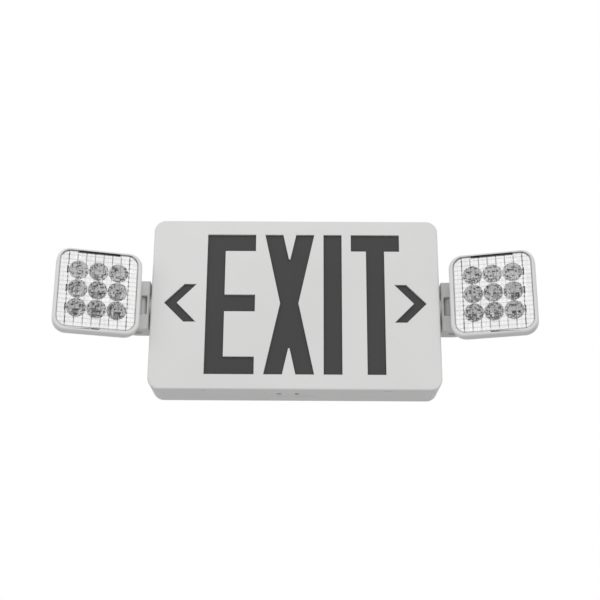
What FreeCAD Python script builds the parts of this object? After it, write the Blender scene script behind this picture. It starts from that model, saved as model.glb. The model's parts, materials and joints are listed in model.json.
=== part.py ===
"""Emergency exit light: a wall housing with a stencil cover and two swivelling lamp heads.

Millimetres. The origin is the middle of the housing's flat back, which lies on the wall.
+X is the reader's right, -Y points out of the wall and +Z is up. Every size is a cell of the
sheet "Sizes", and each piece is bound to those cells, so a changed cell moves what depends
on it. The lamp heads are drawn square to their own pivots and turned inwards by Placement.
"""
import FreeCAD, Part
import math
import os

import Sketcher
from FreeCAD import Placement, Rotation, Vector

PARTS_FOLDER = "parts"
WIRE_SIDES = 6  # the test spring is wound from hexagonal wire

# Driving sizes: alias, value, what it is. Lengths in mm, angles in degrees.
SIZES = (
    ("housing_width", 299.5, "housing, side to side"),
    ("housing_height", 184.0, "housing, bottom to top"),
    ("housing_depth", 50.8, "housing, wall to cover face"),
    ("housing_corner", 12.0, "corner radius seen from the front"),
    ("housing_wall", 2.5, "moulded wall of the back housing"),
    ("ledge_wall", 1.6, "thickness of the ledge in front of the back plate"),
    ("ledge_reach", 2.0, "how far that ledge stands in"),
    ("catch_place", 60.0, "catch of the back plate, from the middle"),
    ("edge_round", 1.8, "rounding of the outer edges"),
    ("fit_gap", 0.15, "gap round pieces that slip together"),
    ("run_gap", 0.05, "radial gap of a turning shaft"),
    ("face_gap", 0.3, "gap between faces that move past each other"),
    ("cover_reach", 6.0, "depth of the cover's skirt"),
    ("cover_face", 2.6, "thickness of the cover's face"),
    ("cover_wall", 2.5, "thickness of the cover's skirt"),
    ("lip_wall", 1.2, "locating lip of the back housing"),
    ("lip_reach", 3.0, "how far the lip enters the cover"),
    ("lip_root", 6.8, "length of the lip's root inside the wall"),
    ("tab_width", 12.0, "snap tab of the cover"),
    ("tab_wall", 1.6, "thickness of a snap tab"),
    ("tab_nib", 1.0, "catch height of a snap tab"),
    ("tab_place", 75.0, "snap tab, from the middle"),
    ("notch_place", 95.0, "pry notch, from the middle"),
    ("notch_width", 9.0, "pry notch, side to side"),
    ("notch_high", 1.6, "pry notch, into the cover's depth"),
    ("notch_deep", 1.2, "pry notch, into the skirt"),
    ("arrow_side", 13.55, "arrow point, from the housing's side"),
    ("arrow_run", 20.7, "arrow, point to the end of an arm"),
    ("arrow_half", 20.0, "half the height of an arrow"),
    ("arrow_thick", 13.2, "arrow stroke at the point, level"),
    ("arrow_end", 11.5, "arrow stroke at an arm's end, level"),
    ("diffuser_wall", 2.0, "coloured panel behind the legend"),
    ("diffuser_edge", 8.0, "panel edge, from the housing's outside"),
    ("diffuser_corner", 6.0, "corner radius of the panel"),
    ("tray_side", 12.25, "light tray, from the housing's sides"),
    ("tray_end", 13.5, "light tray, from the housing's top and bottom"),
    ("tray_wall", 1.5, "wall of the light tray"),
    ("tray_corner", 6.0, "corner radius of the light tray"),
    ("tray_back", 26.0, "back of the light tray, from the wall"),
    ("tray_post", 3.5, "radius of the posts under the tray"),
    ("tray_post_in", 25.5, "tray post, from the tray's sides"),
    ("tray_post_up", 10.5, "tray post, from the tray's top and bottom"),
    ("strip_end", 17.5, "lamp strip, from the tray's sides"),
    ("strip_width", 8.0, "lamp strip, front to back"),
    ("strip_wall", 1.2, "lamp strip board thickness"),
    ("strip_lamps", 12, "lamps on each strip"),
    ("strip_lamp", 3.0, "side of a strip lamp"),
    ("strip_lamp_high", 0.8, "height of a strip lamp"),
    ("board_wall", 1.6, "circuit board thickness"),
    ("board_width", 100.0, "control board, side to side"),
    ("board_height", 80.0, "control board, bottom to top"),
    ("board_side", 25.75, "control board, from the housing's side"),
    ("board_end", 30.0, "control board, from the housing's bottom"),
    ("board_post", 3.0, "radius of the board posts"),
    ("board_inset", 6.0, "board post, from the board's edges"),
    ("board_lift", 6.0, "board, off the back wall"),
    ("transformer_width", 34.0, "transformer, side to side"),
    ("transformer_height", 30.0, "transformer, bottom to top"),
    ("transformer_deep", 14.0, "transformer, off the board"),
    ("terminal_width", 26.0, "terminal block, side to side"),
    ("terminal_height", 10.0, "terminal block, bottom to top"),
    ("terminal_deep", 11.0, "terminal block, off the board"),
    ("terminal_bore", 1.6, "wire hole of the terminal block"),
    ("can_radius", 5.0, "capacitor radius"),
    ("can_length", 13.0, "capacitor, off the board"),
    ("cell_radius", 7.2, "battery cell radius"),
    ("cell_length", 50.0, "battery cell length"),
    ("cell_count", 4, "cells side by side in the pack"),
    ("pack_side", 48.95, "battery pack, from the housing's side"),
    ("pack_end", 45.0, "battery pack, from the housing's bottom"),
    ("cradle_wall", 2.0, "cradle rib beside the pack"),
    ("cradle_high", 9.0, "cradle rib, off the back wall"),
    ("strap_width", 14.0, "strap over the pack"),
    ("strap_wall", 1.2, "strap thickness"),
    ("strap_foot", 9.0, "foot of the strap"),
    ("entry_radius", 11.1, "supply entry in the back wall"),
    ("box_spacing", 88.9, "box screw holes, apart"),
    ("box_hole", 2.25, "box screw hole radius"),
    ("knock_radius", 6.0, "knock-out outline radius"),
    ("knock_groove", 1.0, "knock-out outline width"),
    ("knock_deep", 1.2, "knock-out outline depth"),
    ("knock_x", 44.45, "knock-out, from the middle"),
    ("panel_width", 49.0, "test panel recess, side to side"),
    ("panel_deep", 18.0, "test panel recess, front to back"),
    ("panel_sink", 0.4, "depth of the test panel recess"),
    ("test_back", 30.0, "test row, from the wall"),
    ("button_x", 2.1, "test button, from the middle"),
    ("button_radius", 2.35, "test button radius"),
    ("button_gap", 0.25, "gap round the test button"),
    ("button_sink", 0.4, "button end, inside the recess"),
    ("button_flange", 4.0, "radius of the button's stop flange"),
    ("flange_high", 1.2, "height of the stop flange"),
    ("stem_radius", 1.5, "button stem inside its spring"),
    ("stem_high", 3.4, "button stem above its flange"),
    ("spring_radius", 2.5, "test spring, to the wire's middle"),
    ("wire_radius", 0.3, "test spring wire"),
    ("spring_turns", 4.0, "turns of the test spring"),
    ("lamp_x", -16.2, "status lamp, from the middle"),
    ("lamp_radius", 2.5, "status lamp lens radius"),
    ("lamp_rim", 3.0, "status lamp rim radius"),
    ("lamp_length", 7.6, "status lamp lens length"),
    ("lead_side", 0.6, "side of a status lamp lead"),
    ("test_board_width", 56.0, "test board, side to side"),
    ("test_board_deep", 14.0, "test board, front to back"),
    ("test_board_lift", 8.6, "test board, above the bottom wall"),
    ("test_post", 2.6, "radius of the test board posts"),
    ("arm_back", 29.8, "arm axis, from the wall"),
    ("stub_radius", 9.5, "round stub of the arm"),
    ("stub_bore", 3.5, "wire way through the stub"),
    ("stub_tail", 2.0, "stub beyond its nut"),
    ("collar_radius", 12.0, "collar of the arm"),
    ("bush_wall", 1.9, "bushing wall"),
    ("bush_flange", 13.5, "bushing flange radius"),
    ("bush_face", 0.8, "bushing flange thickness"),
    ("washer_radius", 13.5, "spring washer radius"),
    ("washer_wall", 0.7, "spring washer thickness"),
    ("washer_cone", 0.5, "rise of the coned washer"),
    ("nut_radius", 15.0, "arm nut, to its corners"),
    ("nut_wall", 5.0, "arm nut thickness"),
    ("yoke_gap", 2.6, "housing side to the arm's yoke"),
    ("yoke_radius", 13.0, "yoke, pivot to its faces"),
    ("yoke_height", 52.0, "yoke, bottom to top"),
    ("yoke_round", 1.5, "rounding of the yoke's upright edges"),
    ("tongue_radius", 10.0, "head's tongue round the pivot"),
    ("tongue_half", 10.0, "half the height of the tongue"),
    ("pin_radius", 3.0, "pivot pin radius"),
    ("pin_head", 5.4, "pivot pin head radius"),
    ("pin_head_high", 3.0, "pivot pin head height"),
    ("pin_cover", 4.0, "material over the pin's end"),
    ("head_width", 86.8, "lamp head, side to side"),
    ("head_height", 87.2, "lamp head, bottom to top"),
    ("head_corner", 14.0, "lamp head corner radius"),
    ("head_rim", 4.8, "lamp head rim, seen from the front"),
    ("head_straight", 15.0, "depth of the straight sides"),
    ("head_depth", 38.2, "lamp head, front to back"),
    ("head_back_width", 62.0, "lamp head's back, side to side"),
    ("head_back_height", 62.0, "lamp head's back, bottom to top"),
    ("head_back_corner", 12.0, "corner radius of the back"),
    ("head_wall", 3.0, "lamp head wall behind the lamps"),
    ("head_round", 2.0, "rounding of the rim"),
    ("head_side", 46.64, "pivot to the head's middle"),
    ("head_rise", 2.0, "head's middle, above the pivot"),
    ("head_front", 40.2, "pivot to the rim's front"),
    ("head_yaw", 16.0, "how far the heads face inwards"),
    ("lens_sink", 0.8, "lens below the rim"),
    ("lens_wall", 3.0, "lens thickness"),
    ("lens_slot", 20.0, "snap slot along the lens's top"),
    ("lens_slot_deep", 0.9, "depth of the snap slots"),
    ("lens_bridge", 1.6, "bridge between the snap slots"),
    ("lens_notch", 8.5, "pry notch under the lens"),
    ("lens_notch_deep", 1.5, "depth of the pry notch"),
    ("cup_pitch", 21.0, "lamp cup to lamp cup"),
    ("cup_mouth", 9.6, "radius of a cup's mouth"),
    ("cup_waist", 7.2, "radius half-way down a cup"),
    ("cup_base", 3.0, "radius of a cup's base"),
    ("cup_wall", 0.8, "wall of a cup"),
    ("cup_plate", 1.2, "plate that carries the cups"),
    ("cup_depth", 10.6, "plate front to cup base"),
    ("lamp_side", 3.5, "side of a head lamp"),
    ("lamp_high", 1.6, "height of a head lamp"),
)


class Size:
    """A length that knows its value and the sheet formula it comes from."""

    def __init__(self, value, text):
        self.value = value
        self.text = text

    @staticmethod
    def of(item):
        """Return item as a Size, wrapping a plain number."""
        return item if isinstance(item, Size) else Size(float(item), f"({float(item)!r})")

    def __add__(self, other):
        other = Size.of(other)
        return Size(self.value + other.value, f"({self.text} + {other.text})")

    def __sub__(self, other):
        other = Size.of(other)
        return Size(self.value - other.value, f"({self.text} - {other.text})")

    def __mul__(self, other):
        other = Size.of(other)
        return Size(self.value * other.value, f"({self.text} * {other.text})")

    def __truediv__(self, other):
        other = Size.of(other)
        return Size(self.value / other.value, f"({self.text} / {other.text})")

    def __neg__(self):
        return Size(-self.value, f"(-1 * {self.text})")

    __radd__ = __add__
    __rmul__ = __mul__

    def __rsub__(self, other):
        return Size.of(other) - self


class Sheet:
    """The driving sizes, by name."""

    def __init__(self, document):
        cells = document.addObject("Spreadsheet::Sheet", "Sizes")
        for row, (alias, value, note) in enumerate(SIZES, start=1):
            cells.set(f"A{row}", note)
            cells.set(f"B{row}", str(value))
            cells.setAlias(f"B{row}", alias)
            setattr(self, alias, Size(float(value), f"Sizes.{alias}"))
        document.recompute()


doc = FreeCAD.newDocument("exit_light")
mm = Sheet(doc)
nodes = []


def bind(thing, path, size):
    """Bind one property of a document object to a sheet formula."""
    thing.setExpression(path, Size.of(size).text)


def keep(thing, label):
    """Name a finished sub-part and list it for export."""
    thing.Label = label
    nodes.append(thing)
    return thing


def place(thing, x=0, y=0, z=0, turn=None):
    """Put a sub-part at (x, y, z), turned by turn degrees about +Z."""
    spots = [Size.of(x), Size.of(y), Size.of(z)]
    angle = Size.of(turn if turn is not None else 0)
    turned = Rotation(Vector(0, 0, 1), angle.value)
    thing.Placement = Placement(Vector(*(spot.value for spot in spots)), turned)
    for axis, spot in zip("xyz", spots):
        bind(thing, f"Placement.Base.{axis}", spot)
    if turn is not None:
        bind(thing, "Placement.Rotation.Angle", angle)


class Piece:
    """A PartDesign body with short methods for the features that this part needs."""

    def __init__(self, label):
        self.body = doc.addObject("PartDesign::Body", label)
        self.label = label
        self.count = 0

    def name(self, kind):
        """Return a fresh object name for a feature of this piece."""
        self.count += 1
        return f"{self.label}_{kind}_{self.count}"

    def sketch(self, plane, lift=0):
        """Start a sketch on one of the body's origin planes, lifted along its normal."""
        sketch = self.body.newObject("Sketcher::SketchObject", self.name("sketch"))
        planes = [item for item in self.body.Origin.OriginFeatures if item.Role == f"{plane}_Plane"]
        sketch.AttachmentSupport = [(planes[0], "")]
        sketch.MapMode = "FlatFace"
        lift = Size.of(lift)
        sketch.AttachmentOffset = Placement(Vector(0, 0, lift.value), Rotation())
        bind(sketch, "AttachmentOffset.Base.z", lift)
        return sketch

    def feature(self, kind, sketch):
        """Add a sketch-based feature and return it."""
        feature = self.body.newObject(f"PartDesign::{kind}", self.name(kind.lower()))
        feature.Profile = sketch
        return feature

    def pad(self, sketch, length, backwards=False):
        """Raise a sketch into a solid."""
        pad = self.feature("Pad", sketch)
        pad.Length = Size.of(length).value
        bind(pad, "Length", length)
        pad.Reversed = backwards
        return pad

    def pocket(self, sketch, length, backwards=False):
        """Cut a sketch into the solid, and check that it cut something."""
        doc.recompute()
        before = self.body.Shape.Volume
        pocket = self.feature("Pocket", sketch)
        pocket.Length = Size.of(length).value
        bind(pocket, "Length", length)
        pocket.Reversed = backwards
        doc.recompute()
        if not self.body.Shape.Volume < before:
            raise RuntimeError(f"{pocket.Name} cuts nothing")
        return pocket

    def revolve(self, sketch, axis):
        """Turn a sketch into a round solid about one of the sketch's own axes."""
        turned = self.feature("Revolution", sketch)
        turned.ReferenceAxis = (sketch, [axis])
        turned.Angle = 360
        return turned

    def loft(self, first, second, cut=False):
        """Blend one outline into another, adding or cutting."""
        kind = "SubtractiveLoft" if cut else "AdditiveLoft"
        loft = self.feature(kind, first)
        loft.Sections = [second]
        return loft

    def round_edges(self, radius, chosen):
        """Fillet every edge whose bounding box passes the test chosen."""
        doc.recompute()
        tip = self.body.Tip
        names = [f"Edge{i}" for i, edge in enumerate(tip.Shape.Edges, start=1) if chosen(edge.BoundBox)]
        if not names:
            raise RuntimeError(f"{self.label}: no edge to round")
        fillet = self.body.newObject("PartDesign::Fillet", self.name("fillet"))
        fillet.Base = (tip, names)
        fillet.Radius = Size.of(radius).value
        bind(fillet, "Radius", radius)
        return fillet

    def done(self, x=0, y=0, z=0, turn=None):
        """Place the body, list it as a node and return it."""
        place(self.body, x, y, z, turn)
        return keep(self.body, self.label)


def pin_point(sketch, item, end, x, y):
    """Hold one end of a sketch line at (x, y)."""
    for kind, size, axis in (("DistanceX", Size.of(x), -2), ("DistanceY", Size.of(y), -1)):
        if size.value == 0:
            sketch.addConstraint(Sketcher.Constraint("PointOnObject", item, end, axis))
            continue
        index = sketch.addConstraint(Sketcher.Constraint(kind, -1, 1, item, end, size.value))
        bind(sketch, f"Constraints[{index}]", size)


def set_radius(sketch, item, radius):
    """Give a sketch circle or arc its radius."""
    index = sketch.addConstraint(Sketcher.Constraint("Radius", item, Size.of(radius).value))
    bind(sketch, f"Constraints[{index}]", radius)


def polygon(sketch, corners):
    """Draw a closed outline of straight lines through the corners."""
    spots = [Vector(Size.of(x).value, Size.of(y).value, 0) for x, y in corners]
    count = len(spots)
    lines = [
        sketch.addGeometry(Part.LineSegment(spots[i], spots[(i + 1) % count]), False)
        for i in range(count)
    ]
    for i, (x, y) in enumerate(corners):
        sketch.addConstraint(Sketcher.Constraint("Coincident", lines[i - 1], 2, lines[i], 1))
        pin_point(sketch, lines[i], 1, x, y)
    return sketch


def rectangle(sketch, x_low, y_low, x_high, y_high):
    """Draw a rectangle between two corners."""
    return polygon(sketch, [(x_low, y_low), (x_high, y_low), (x_high, y_high), (x_low, y_high)])


def rounded(sketch, width, height, radius, x=0, y=0):
    """Draw a rectangle with round corners about (x, y)."""
    radius = Size.of(radius)
    left, right = Size.of(x) - width / 2, Size.of(x) + width / 2
    low, high = Size.of(y) - height / 2, Size.of(y) + height / 2
    x_in, x_out, y_in, y_out = left + radius, right - radius, low + radius, high - radius
    ends = [
        (x_in, low), (x_out, low), (right, y_in), (right, y_out),
        (x_out, high), (x_in, high), (left, y_out), (left, y_in),
    ]
    middles = [(x_out, y_in), (x_out, y_out), (x_in, y_out), (x_in, y_in)]
    spots = [Vector(a.value, b.value, 0) for a, b in ends]
    lines = [sketch.addGeometry(Part.LineSegment(spots[i], spots[i + 1]), False) for i in (0, 2, 4, 6)]
    for i, (a, b) in enumerate(middles):
        circle = Part.Circle(Vector(a.value, b.value, 0), Vector(0, 0, 1), radius.value)
        start = math.radians(90 * i - 90)
        arc = sketch.addGeometry(Part.ArcOfCircle(circle, start, start + math.pi / 2), False)
        sketch.addConstraint(Sketcher.Constraint("Coincident", lines[i], 2, arc, 1))
        sketch.addConstraint(Sketcher.Constraint("Coincident", arc, 2, lines[(i + 1) % 4], 1))
        set_radius(sketch, arc, radius)
        for end in (1, 2):
            pin_point(sketch, lines[i], end, *ends[2 * i + end - 1])
    return sketch


def circle(sketch, radius, x=0, y=0):
    """Draw a circle about (x, y)."""
    x, y, radius = Size.of(x), Size.of(y), Size.of(radius)
    item = sketch.addGeometry(Part.Circle(Vector(x.value, y.value, 0), Vector(0, 0, 1), radius.value), False)
    pin_point(sketch, item, 3, x, y)
    set_radius(sketch, item, radius)
    return sketch


def box(name, width, deep, high, x, y, z):
    """Return a Part box whose lowest corner is (x, y, z)."""
    block = doc.addObject("Part::Box", name)
    for side, size in (("Length", width), ("Width", deep), ("Height", high)):
        bind(block, side, size)
    place(block, x, y, z)
    return block


def round_bar(name, radius, length, x, y, z, end_radius=None):
    """Return a Part cylinder or cone that runs along +Y from (x, y, z)."""
    kind = "Part::Cylinder" if end_radius is None else "Part::Cone"
    bar = doc.addObject(kind, name)
    if end_radius is None:
        bind(bar, "Radius", radius)
    else:
        bind(bar, "Radius1", radius)
        bind(bar, "Radius2", end_radius)
    bind(bar, "Height", length)
    spots = [Size.of(x), Size.of(y), Size.of(z)]
    bar.Placement = Placement(Vector(*(spot.value for spot in spots)), Rotation(Vector(1, 0, 0), -90))
    for axis, spot in zip("xyz", spots):
        bind(bar, f"Placement.Base.{axis}", spot)
    return bar


def fuse(name, shapes):
    """Return the union of several Part objects."""
    union = doc.addObject("Part::MultiFuse", name)
    union.Shapes = shapes
    return union


def cut(name, base, tool):
    """Return one Part object with another taken away."""
    rest = doc.addObject("Part::Cut", name)
    rest.Base = base
    rest.Tool = tool
    return rest


# Places that several pieces share.
half_width = mm.housing_width / 2
half_height = mm.housing_height / 2
inside_width = mm.housing_width - 2 * mm.housing_wall
inside_height = mm.housing_height - 2 * mm.housing_wall
ledge_width = inside_width - 2 * mm.ledge_reach
ledge_height = inside_height - 2 * mm.ledge_reach
arrow_tip = half_width - mm.arrow_side
tray_width = mm.housing_width - 2 * mm.tray_side
tray_height = mm.housing_height - 2 * mm.tray_end
strip_length = tray_width - 2 * mm.strip_end
board_x = mm.board_side + mm.board_width / 2 - half_width
board_z = mm.board_end + mm.board_height / 2 - half_height
pack_half = mm.cell_radius * mm.cell_count
pack_x = half_width - mm.pack_side - pack_half
pack_z = mm.pack_end + mm.cell_length / 2 - half_height
seam = mm.housing_depth - mm.cover_reach
face_back = mm.housing_depth - mm.cover_face
lip_out_width = mm.housing_width - 2 * (mm.cover_wall + mm.fit_gap)
lip_out_height = mm.housing_height - 2 * (mm.cover_wall + mm.fit_gap)
lip_in_width = lip_out_width - 2 * mm.lip_wall
lip_in_height = lip_out_height - 2 * mm.lip_wall
floor_top = mm.housing_wall - half_height
test_board_low = floor_top + mm.test_board_lift
pivot_x = half_width + mm.yoke_gap + mm.yoke_radius
slot_half = mm.tongue_half + mm.face_gap
slot_radius = mm.tongue_radius + 2 * mm.face_gap
half_head = mm.head_width / 2
lens_back = mm.head_front - mm.lens_sink - mm.lens_wall
lamp_step = lens_back - mm.cup_depth - mm.board_wall
window_width = mm.head_width - 2 * mm.head_rim
window_height = mm.head_height - 2 * mm.head_rim
window_corner = mm.head_corner - mm.head_rim
window_fit = 2 * mm.fit_gap


def snap_tabs(piece, place, outside, start, end, catch):
    """Two snap tabs at the top and two at the bottom, with nibs on their outer faces.

    The tabs stand outside high, from start to end in depth, and the nibs begin at catch.
    """
    tabs = piece.sketch("XZ", start)
    nibs = piece.sketch("XZ", catch)
    for side in (-1, 1):
        middle = side * place
        left, right = middle - mm.tab_width / 2, middle + mm.tab_width / 2
        rectangle(tabs, left, outside - mm.tab_wall, right, outside)
        rectangle(tabs, left, -outside, right, mm.tab_wall - outside)
        rectangle(nibs, left, outside - mm.tab_wall / 2, right, outside + mm.tab_nib)
        rectangle(nibs, left, -outside - mm.tab_nib, right, mm.tab_wall / 2 - outside)
    piece.pad(tabs, end - start)
    piece.pad(nibs, mm.tab_wall)


def make_back_plate():
    """Flat plate that is screwed to the wall box, snaps into the housing and carries the works."""
    piece = Piece("back_plate")
    outline = rounded(
        piece.sketch("XZ"),
        inside_width - 2 * mm.fit_gap,
        inside_height - 2 * mm.fit_gap,
        mm.housing_corner - mm.housing_wall - mm.fit_gap,
    )
    piece.pad(outline, mm.housing_wall)

    # Supply entry, box screw holes and knock-out outlines.
    back_holes = circle(piece.sketch("XZ"), mm.entry_radius)
    for side in (-1, 1):
        circle(back_holes, mm.box_hole, 0, side * mm.box_spacing / 2)
    piece.pocket(back_holes, mm.housing_wall, backwards=True)
    outlines = piece.sketch("XZ")
    for side in (-1, 1):
        for level in (-1, 1):
            for radius in (mm.knock_radius, mm.knock_radius - mm.knock_groove):
                circle(outlines, radius, side * mm.knock_x, level * mm.box_spacing / 2)
    piece.pocket(outlines, mm.knock_deep, backwards=True)

    # Posts for the light tray and the control board, and ribs beside the battery.
    tray_posts = piece.sketch("XZ", mm.housing_wall / 2)
    board_posts = piece.sketch("XZ", mm.housing_wall / 2)
    for side in (-1, 1):
        for level in (-1, 1):
            circle(
                tray_posts,
                mm.tray_post,
                side * (tray_width / 2 - mm.tray_post_in),
                level * (tray_height / 2 - mm.tray_post_up),
            )
            circle(
                board_posts,
                mm.board_post,
                board_x + side * (mm.board_width / 2 - mm.board_inset),
                board_z + level * (mm.board_height / 2 - mm.board_inset),
            )
    piece.pad(tray_posts, mm.tray_back - mm.housing_wall / 2)
    piece.pad(board_posts, mm.board_lift + mm.housing_wall / 2)
    ribs = piece.sketch("XZ", mm.housing_wall / 2)
    for side in (-1, 1):
        inner = pack_x + side * (pack_half + mm.face_gap)
        outer = inner + side * mm.cradle_wall
        low, high = (inner, outer) if side > 0 else (outer, inner)
        for level in (-1, 1):
            middle = pack_z + level * mm.cell_length * 3 / 8
            rectangle(ribs, low, middle - mm.cell_length / 8, high, middle + mm.cell_length / 8)
    piece.pad(ribs, mm.cradle_high)

    # Four snap tabs catch over the housing's ledge.
    catch = mm.housing_wall + mm.ledge_wall + mm.face_gap
    end = catch + mm.tab_wall
    snap_tabs(piece, mm.catch_place, ledge_height / 2 - mm.face_gap, mm.housing_wall / 2, end, catch)
    return piece.done()


def make_back_housing():
    """Moulded frame round the works, with the ledge for the back plate and the lip for the cover."""
    piece = Piece("back_housing")
    outline = rounded(piece.sketch("XZ"), mm.housing_width, mm.housing_height, mm.housing_corner)
    piece.pad(outline, seam)
    piece.round_edges(mm.edge_round, lambda edge: edge.YMax > -0.01 and edge.YMin > -0.01)
    inside_corner = mm.housing_corner - mm.housing_wall
    hollow = rounded(piece.sketch("XZ", seam), inside_width, inside_height, inside_corner)
    piece.pocket(hollow, seam)

    # The ledge that the back plate lies against.
    ledge = piece.sketch("XZ", mm.housing_wall)
    rounded(
        ledge,
        mm.housing_width - mm.housing_wall,
        mm.housing_height - mm.housing_wall,
        mm.housing_corner - mm.housing_wall / 2,
    )
    rounded(ledge, ledge_width, ledge_height, inside_corner - mm.ledge_reach)
    piece.pad(ledge, mm.ledge_wall)

    # The lip: a root rib inside the wall, then a thinner tongue that enters the cover.
    inner_corner = mm.housing_corner - mm.cover_wall - mm.fit_gap - mm.lip_wall
    root = piece.sketch("XZ", seam - mm.lip_root)
    rounded(
        root,
        mm.housing_width - mm.housing_wall,
        mm.housing_height - mm.housing_wall,
        mm.housing_corner - mm.housing_wall / 2,
    )
    rounded(root, lip_in_width, lip_in_height, inner_corner)
    piece.pad(root, mm.lip_root)
    tongue = piece.sketch("XZ", seam)
    rounded(tongue, lip_out_width, lip_out_height, inner_corner + mm.lip_wall)
    rounded(tongue, lip_in_width, lip_in_height, inner_corner)
    piece.pad(tongue, mm.lip_reach)

    # Round holes for the two arms, in line with each other.
    arm_hole = circle(
        piece.sketch("YZ", half_width + mm.housing_wall),
        mm.stub_radius + mm.run_gap + mm.bush_wall,
        -mm.arm_back,
    )
    piece.pocket(arm_hole, mm.housing_width + 2 * mm.housing_wall)
    # Inside, the lip's root gives way to the spring washers and nuts.
    nut_room = circle(
        piece.sketch("YZ", half_width - mm.housing_wall),
        mm.nut_radius + mm.face_gap,
        -mm.arm_back,
    )
    piece.pocket(nut_room, mm.housing_width - 2 * mm.housing_wall)

    # Underside: shallow test panel, its two holes, and posts for the test board.
    panel = rectangle(
        piece.sketch("XY", -half_height),
        -mm.panel_width / 2,
        -mm.test_back - mm.panel_deep / 2,
        mm.panel_width / 2,
        -mm.test_back + mm.panel_deep / 2,
    )
    piece.pocket(panel, mm.panel_sink, backwards=True)
    holes = piece.sketch("XY", -half_height)
    circle(holes, mm.button_radius + mm.button_gap, mm.button_x, -mm.test_back)
    circle(holes, mm.lamp_radius + mm.button_gap, mm.lamp_x, -mm.test_back)
    piece.pocket(holes, mm.housing_wall, backwards=True)
    test_posts = piece.sketch("XY", floor_top - mm.housing_wall / 2)
    for side in (-1, 1):
        circle(test_posts, mm.test_post, side * (mm.test_board_width / 2 - mm.test_post), -mm.test_back)
    piece.pad(test_posts, mm.test_board_lift + mm.housing_wall / 2)
    return piece.done()


def make_front_cover():
    """Snap-on cover with the two arrow openings."""
    piece = Piece("front_cover")
    outline = rounded(piece.sketch("XZ", seam), mm.housing_width, mm.housing_height, mm.housing_corner)
    piece.pad(outline, mm.cover_reach)
    front = -mm.housing_depth.value
    piece.round_edges(mm.edge_round, lambda edge: edge.YMax < front + 0.01)
    hollow = rounded(
        piece.sketch("XZ", seam),
        mm.housing_width - 2 * mm.cover_wall,
        mm.housing_height - 2 * mm.cover_wall,
        mm.housing_corner - mm.cover_wall,
    )
    piece.pocket(hollow, mm.cover_reach - mm.cover_face, backwards=True)
    arrows = piece.sketch("XZ", mm.housing_depth)
    for side in (-1, 1):
        arm = arrow_tip - mm.arrow_run
        points = [
            (arrow_tip, 0),
            (arm, mm.arrow_half),
            (arm - mm.arrow_end, mm.arrow_half),
            (arrow_tip - mm.arrow_thick, 0),
            (arm - mm.arrow_end, -mm.arrow_half),
            (arm, -mm.arrow_half),
        ]
        polygon(arrows, [(side * x, z) for x, z in points])
    piece.pocket(arrows, mm.cover_face)

    # Four snap tabs reach back past the lip's root and catch behind it.
    tail = seam - mm.lip_root - mm.face_gap - mm.tab_wall
    tab_end = face_back + mm.cover_face / 2
    snap_tabs(piece, mm.tab_place, lip_in_height / 2 - mm.face_gap, tail, tab_end, tail)

    # Two notches in the lower edge of the skirt take a screwdriver.
    notches = piece.sketch("XZ", seam)
    for side in (-1, 1):
        middle = side * mm.notch_place
        rectangle(
            notches,
            middle - mm.notch_width / 2,
            -half_height - mm.notch_deep,
            middle + mm.notch_width / 2,
            mm.notch_deep - half_height,
        )
    piece.pocket(notches, mm.notch_high, backwards=True)
    return piece.done()


def make_diffuser():
    """Coloured panel that lies against the back of the cover's face."""
    piece = Piece("legend_diffuser")
    outline = rounded(
        piece.sketch("XZ"),
        mm.housing_width - 2 * mm.diffuser_edge,
        mm.housing_height - 2 * mm.diffuser_edge,
        mm.diffuser_corner,
    )
    piece.pad(outline, mm.diffuser_wall)
    return piece.done(y=mm.diffuser_wall - face_back)


def make_light_tray():
    """White tray on the housing's posts that throws the strips' light forwards."""
    piece = Piece("light_tray")
    depth = face_back - mm.diffuser_wall - mm.face_gap - mm.tray_back
    piece.pad(rounded(piece.sketch("XZ"), tray_width, tray_height, mm.tray_corner), depth)
    hollow = rounded(
        piece.sketch("XZ", depth),
        tray_width - 2 * mm.tray_wall,
        tray_height - 2 * mm.tray_wall,
        mm.tray_corner - mm.tray_wall,
    )
    piece.pocket(hollow, depth - mm.tray_wall)
    return piece.done(y=-mm.tray_back)


def make_lamp_strip(label, level):
    """Strip board with its lamps, inside the top (level 1) or bottom (level -1) of the tray."""
    wall = tray_height / 2 - mm.tray_wall
    middle = mm.tray_back + (face_back - mm.diffuser_wall - mm.tray_back) / 2
    board_z = wall - mm.strip_wall if level > 0 else -wall
    lamp_z = board_z - mm.strip_lamp_high if level > 0 else board_z + mm.strip_wall
    pieces = [
        box(
            f"{label}_board",
            strip_length,
            mm.strip_width,
            mm.strip_wall,
            -strip_length / 2,
            -middle - mm.strip_width / 2,
            board_z,
        )
    ]
    pitch = strip_length / mm.strip_lamps
    for i in range(int(mm.strip_lamps.value)):
        left = -strip_length / 2 + pitch * (i + 0.5) - mm.strip_lamp / 2
        pieces.append(
            box(
                f"{label}_lamp_{i + 1}",
                mm.strip_lamp,
                mm.strip_lamp,
                mm.strip_lamp_high,
                left,
                -middle - mm.strip_lamp / 2,
                lamp_z,
            )
        )
    return keep(fuse(label, pieces), label)


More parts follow.
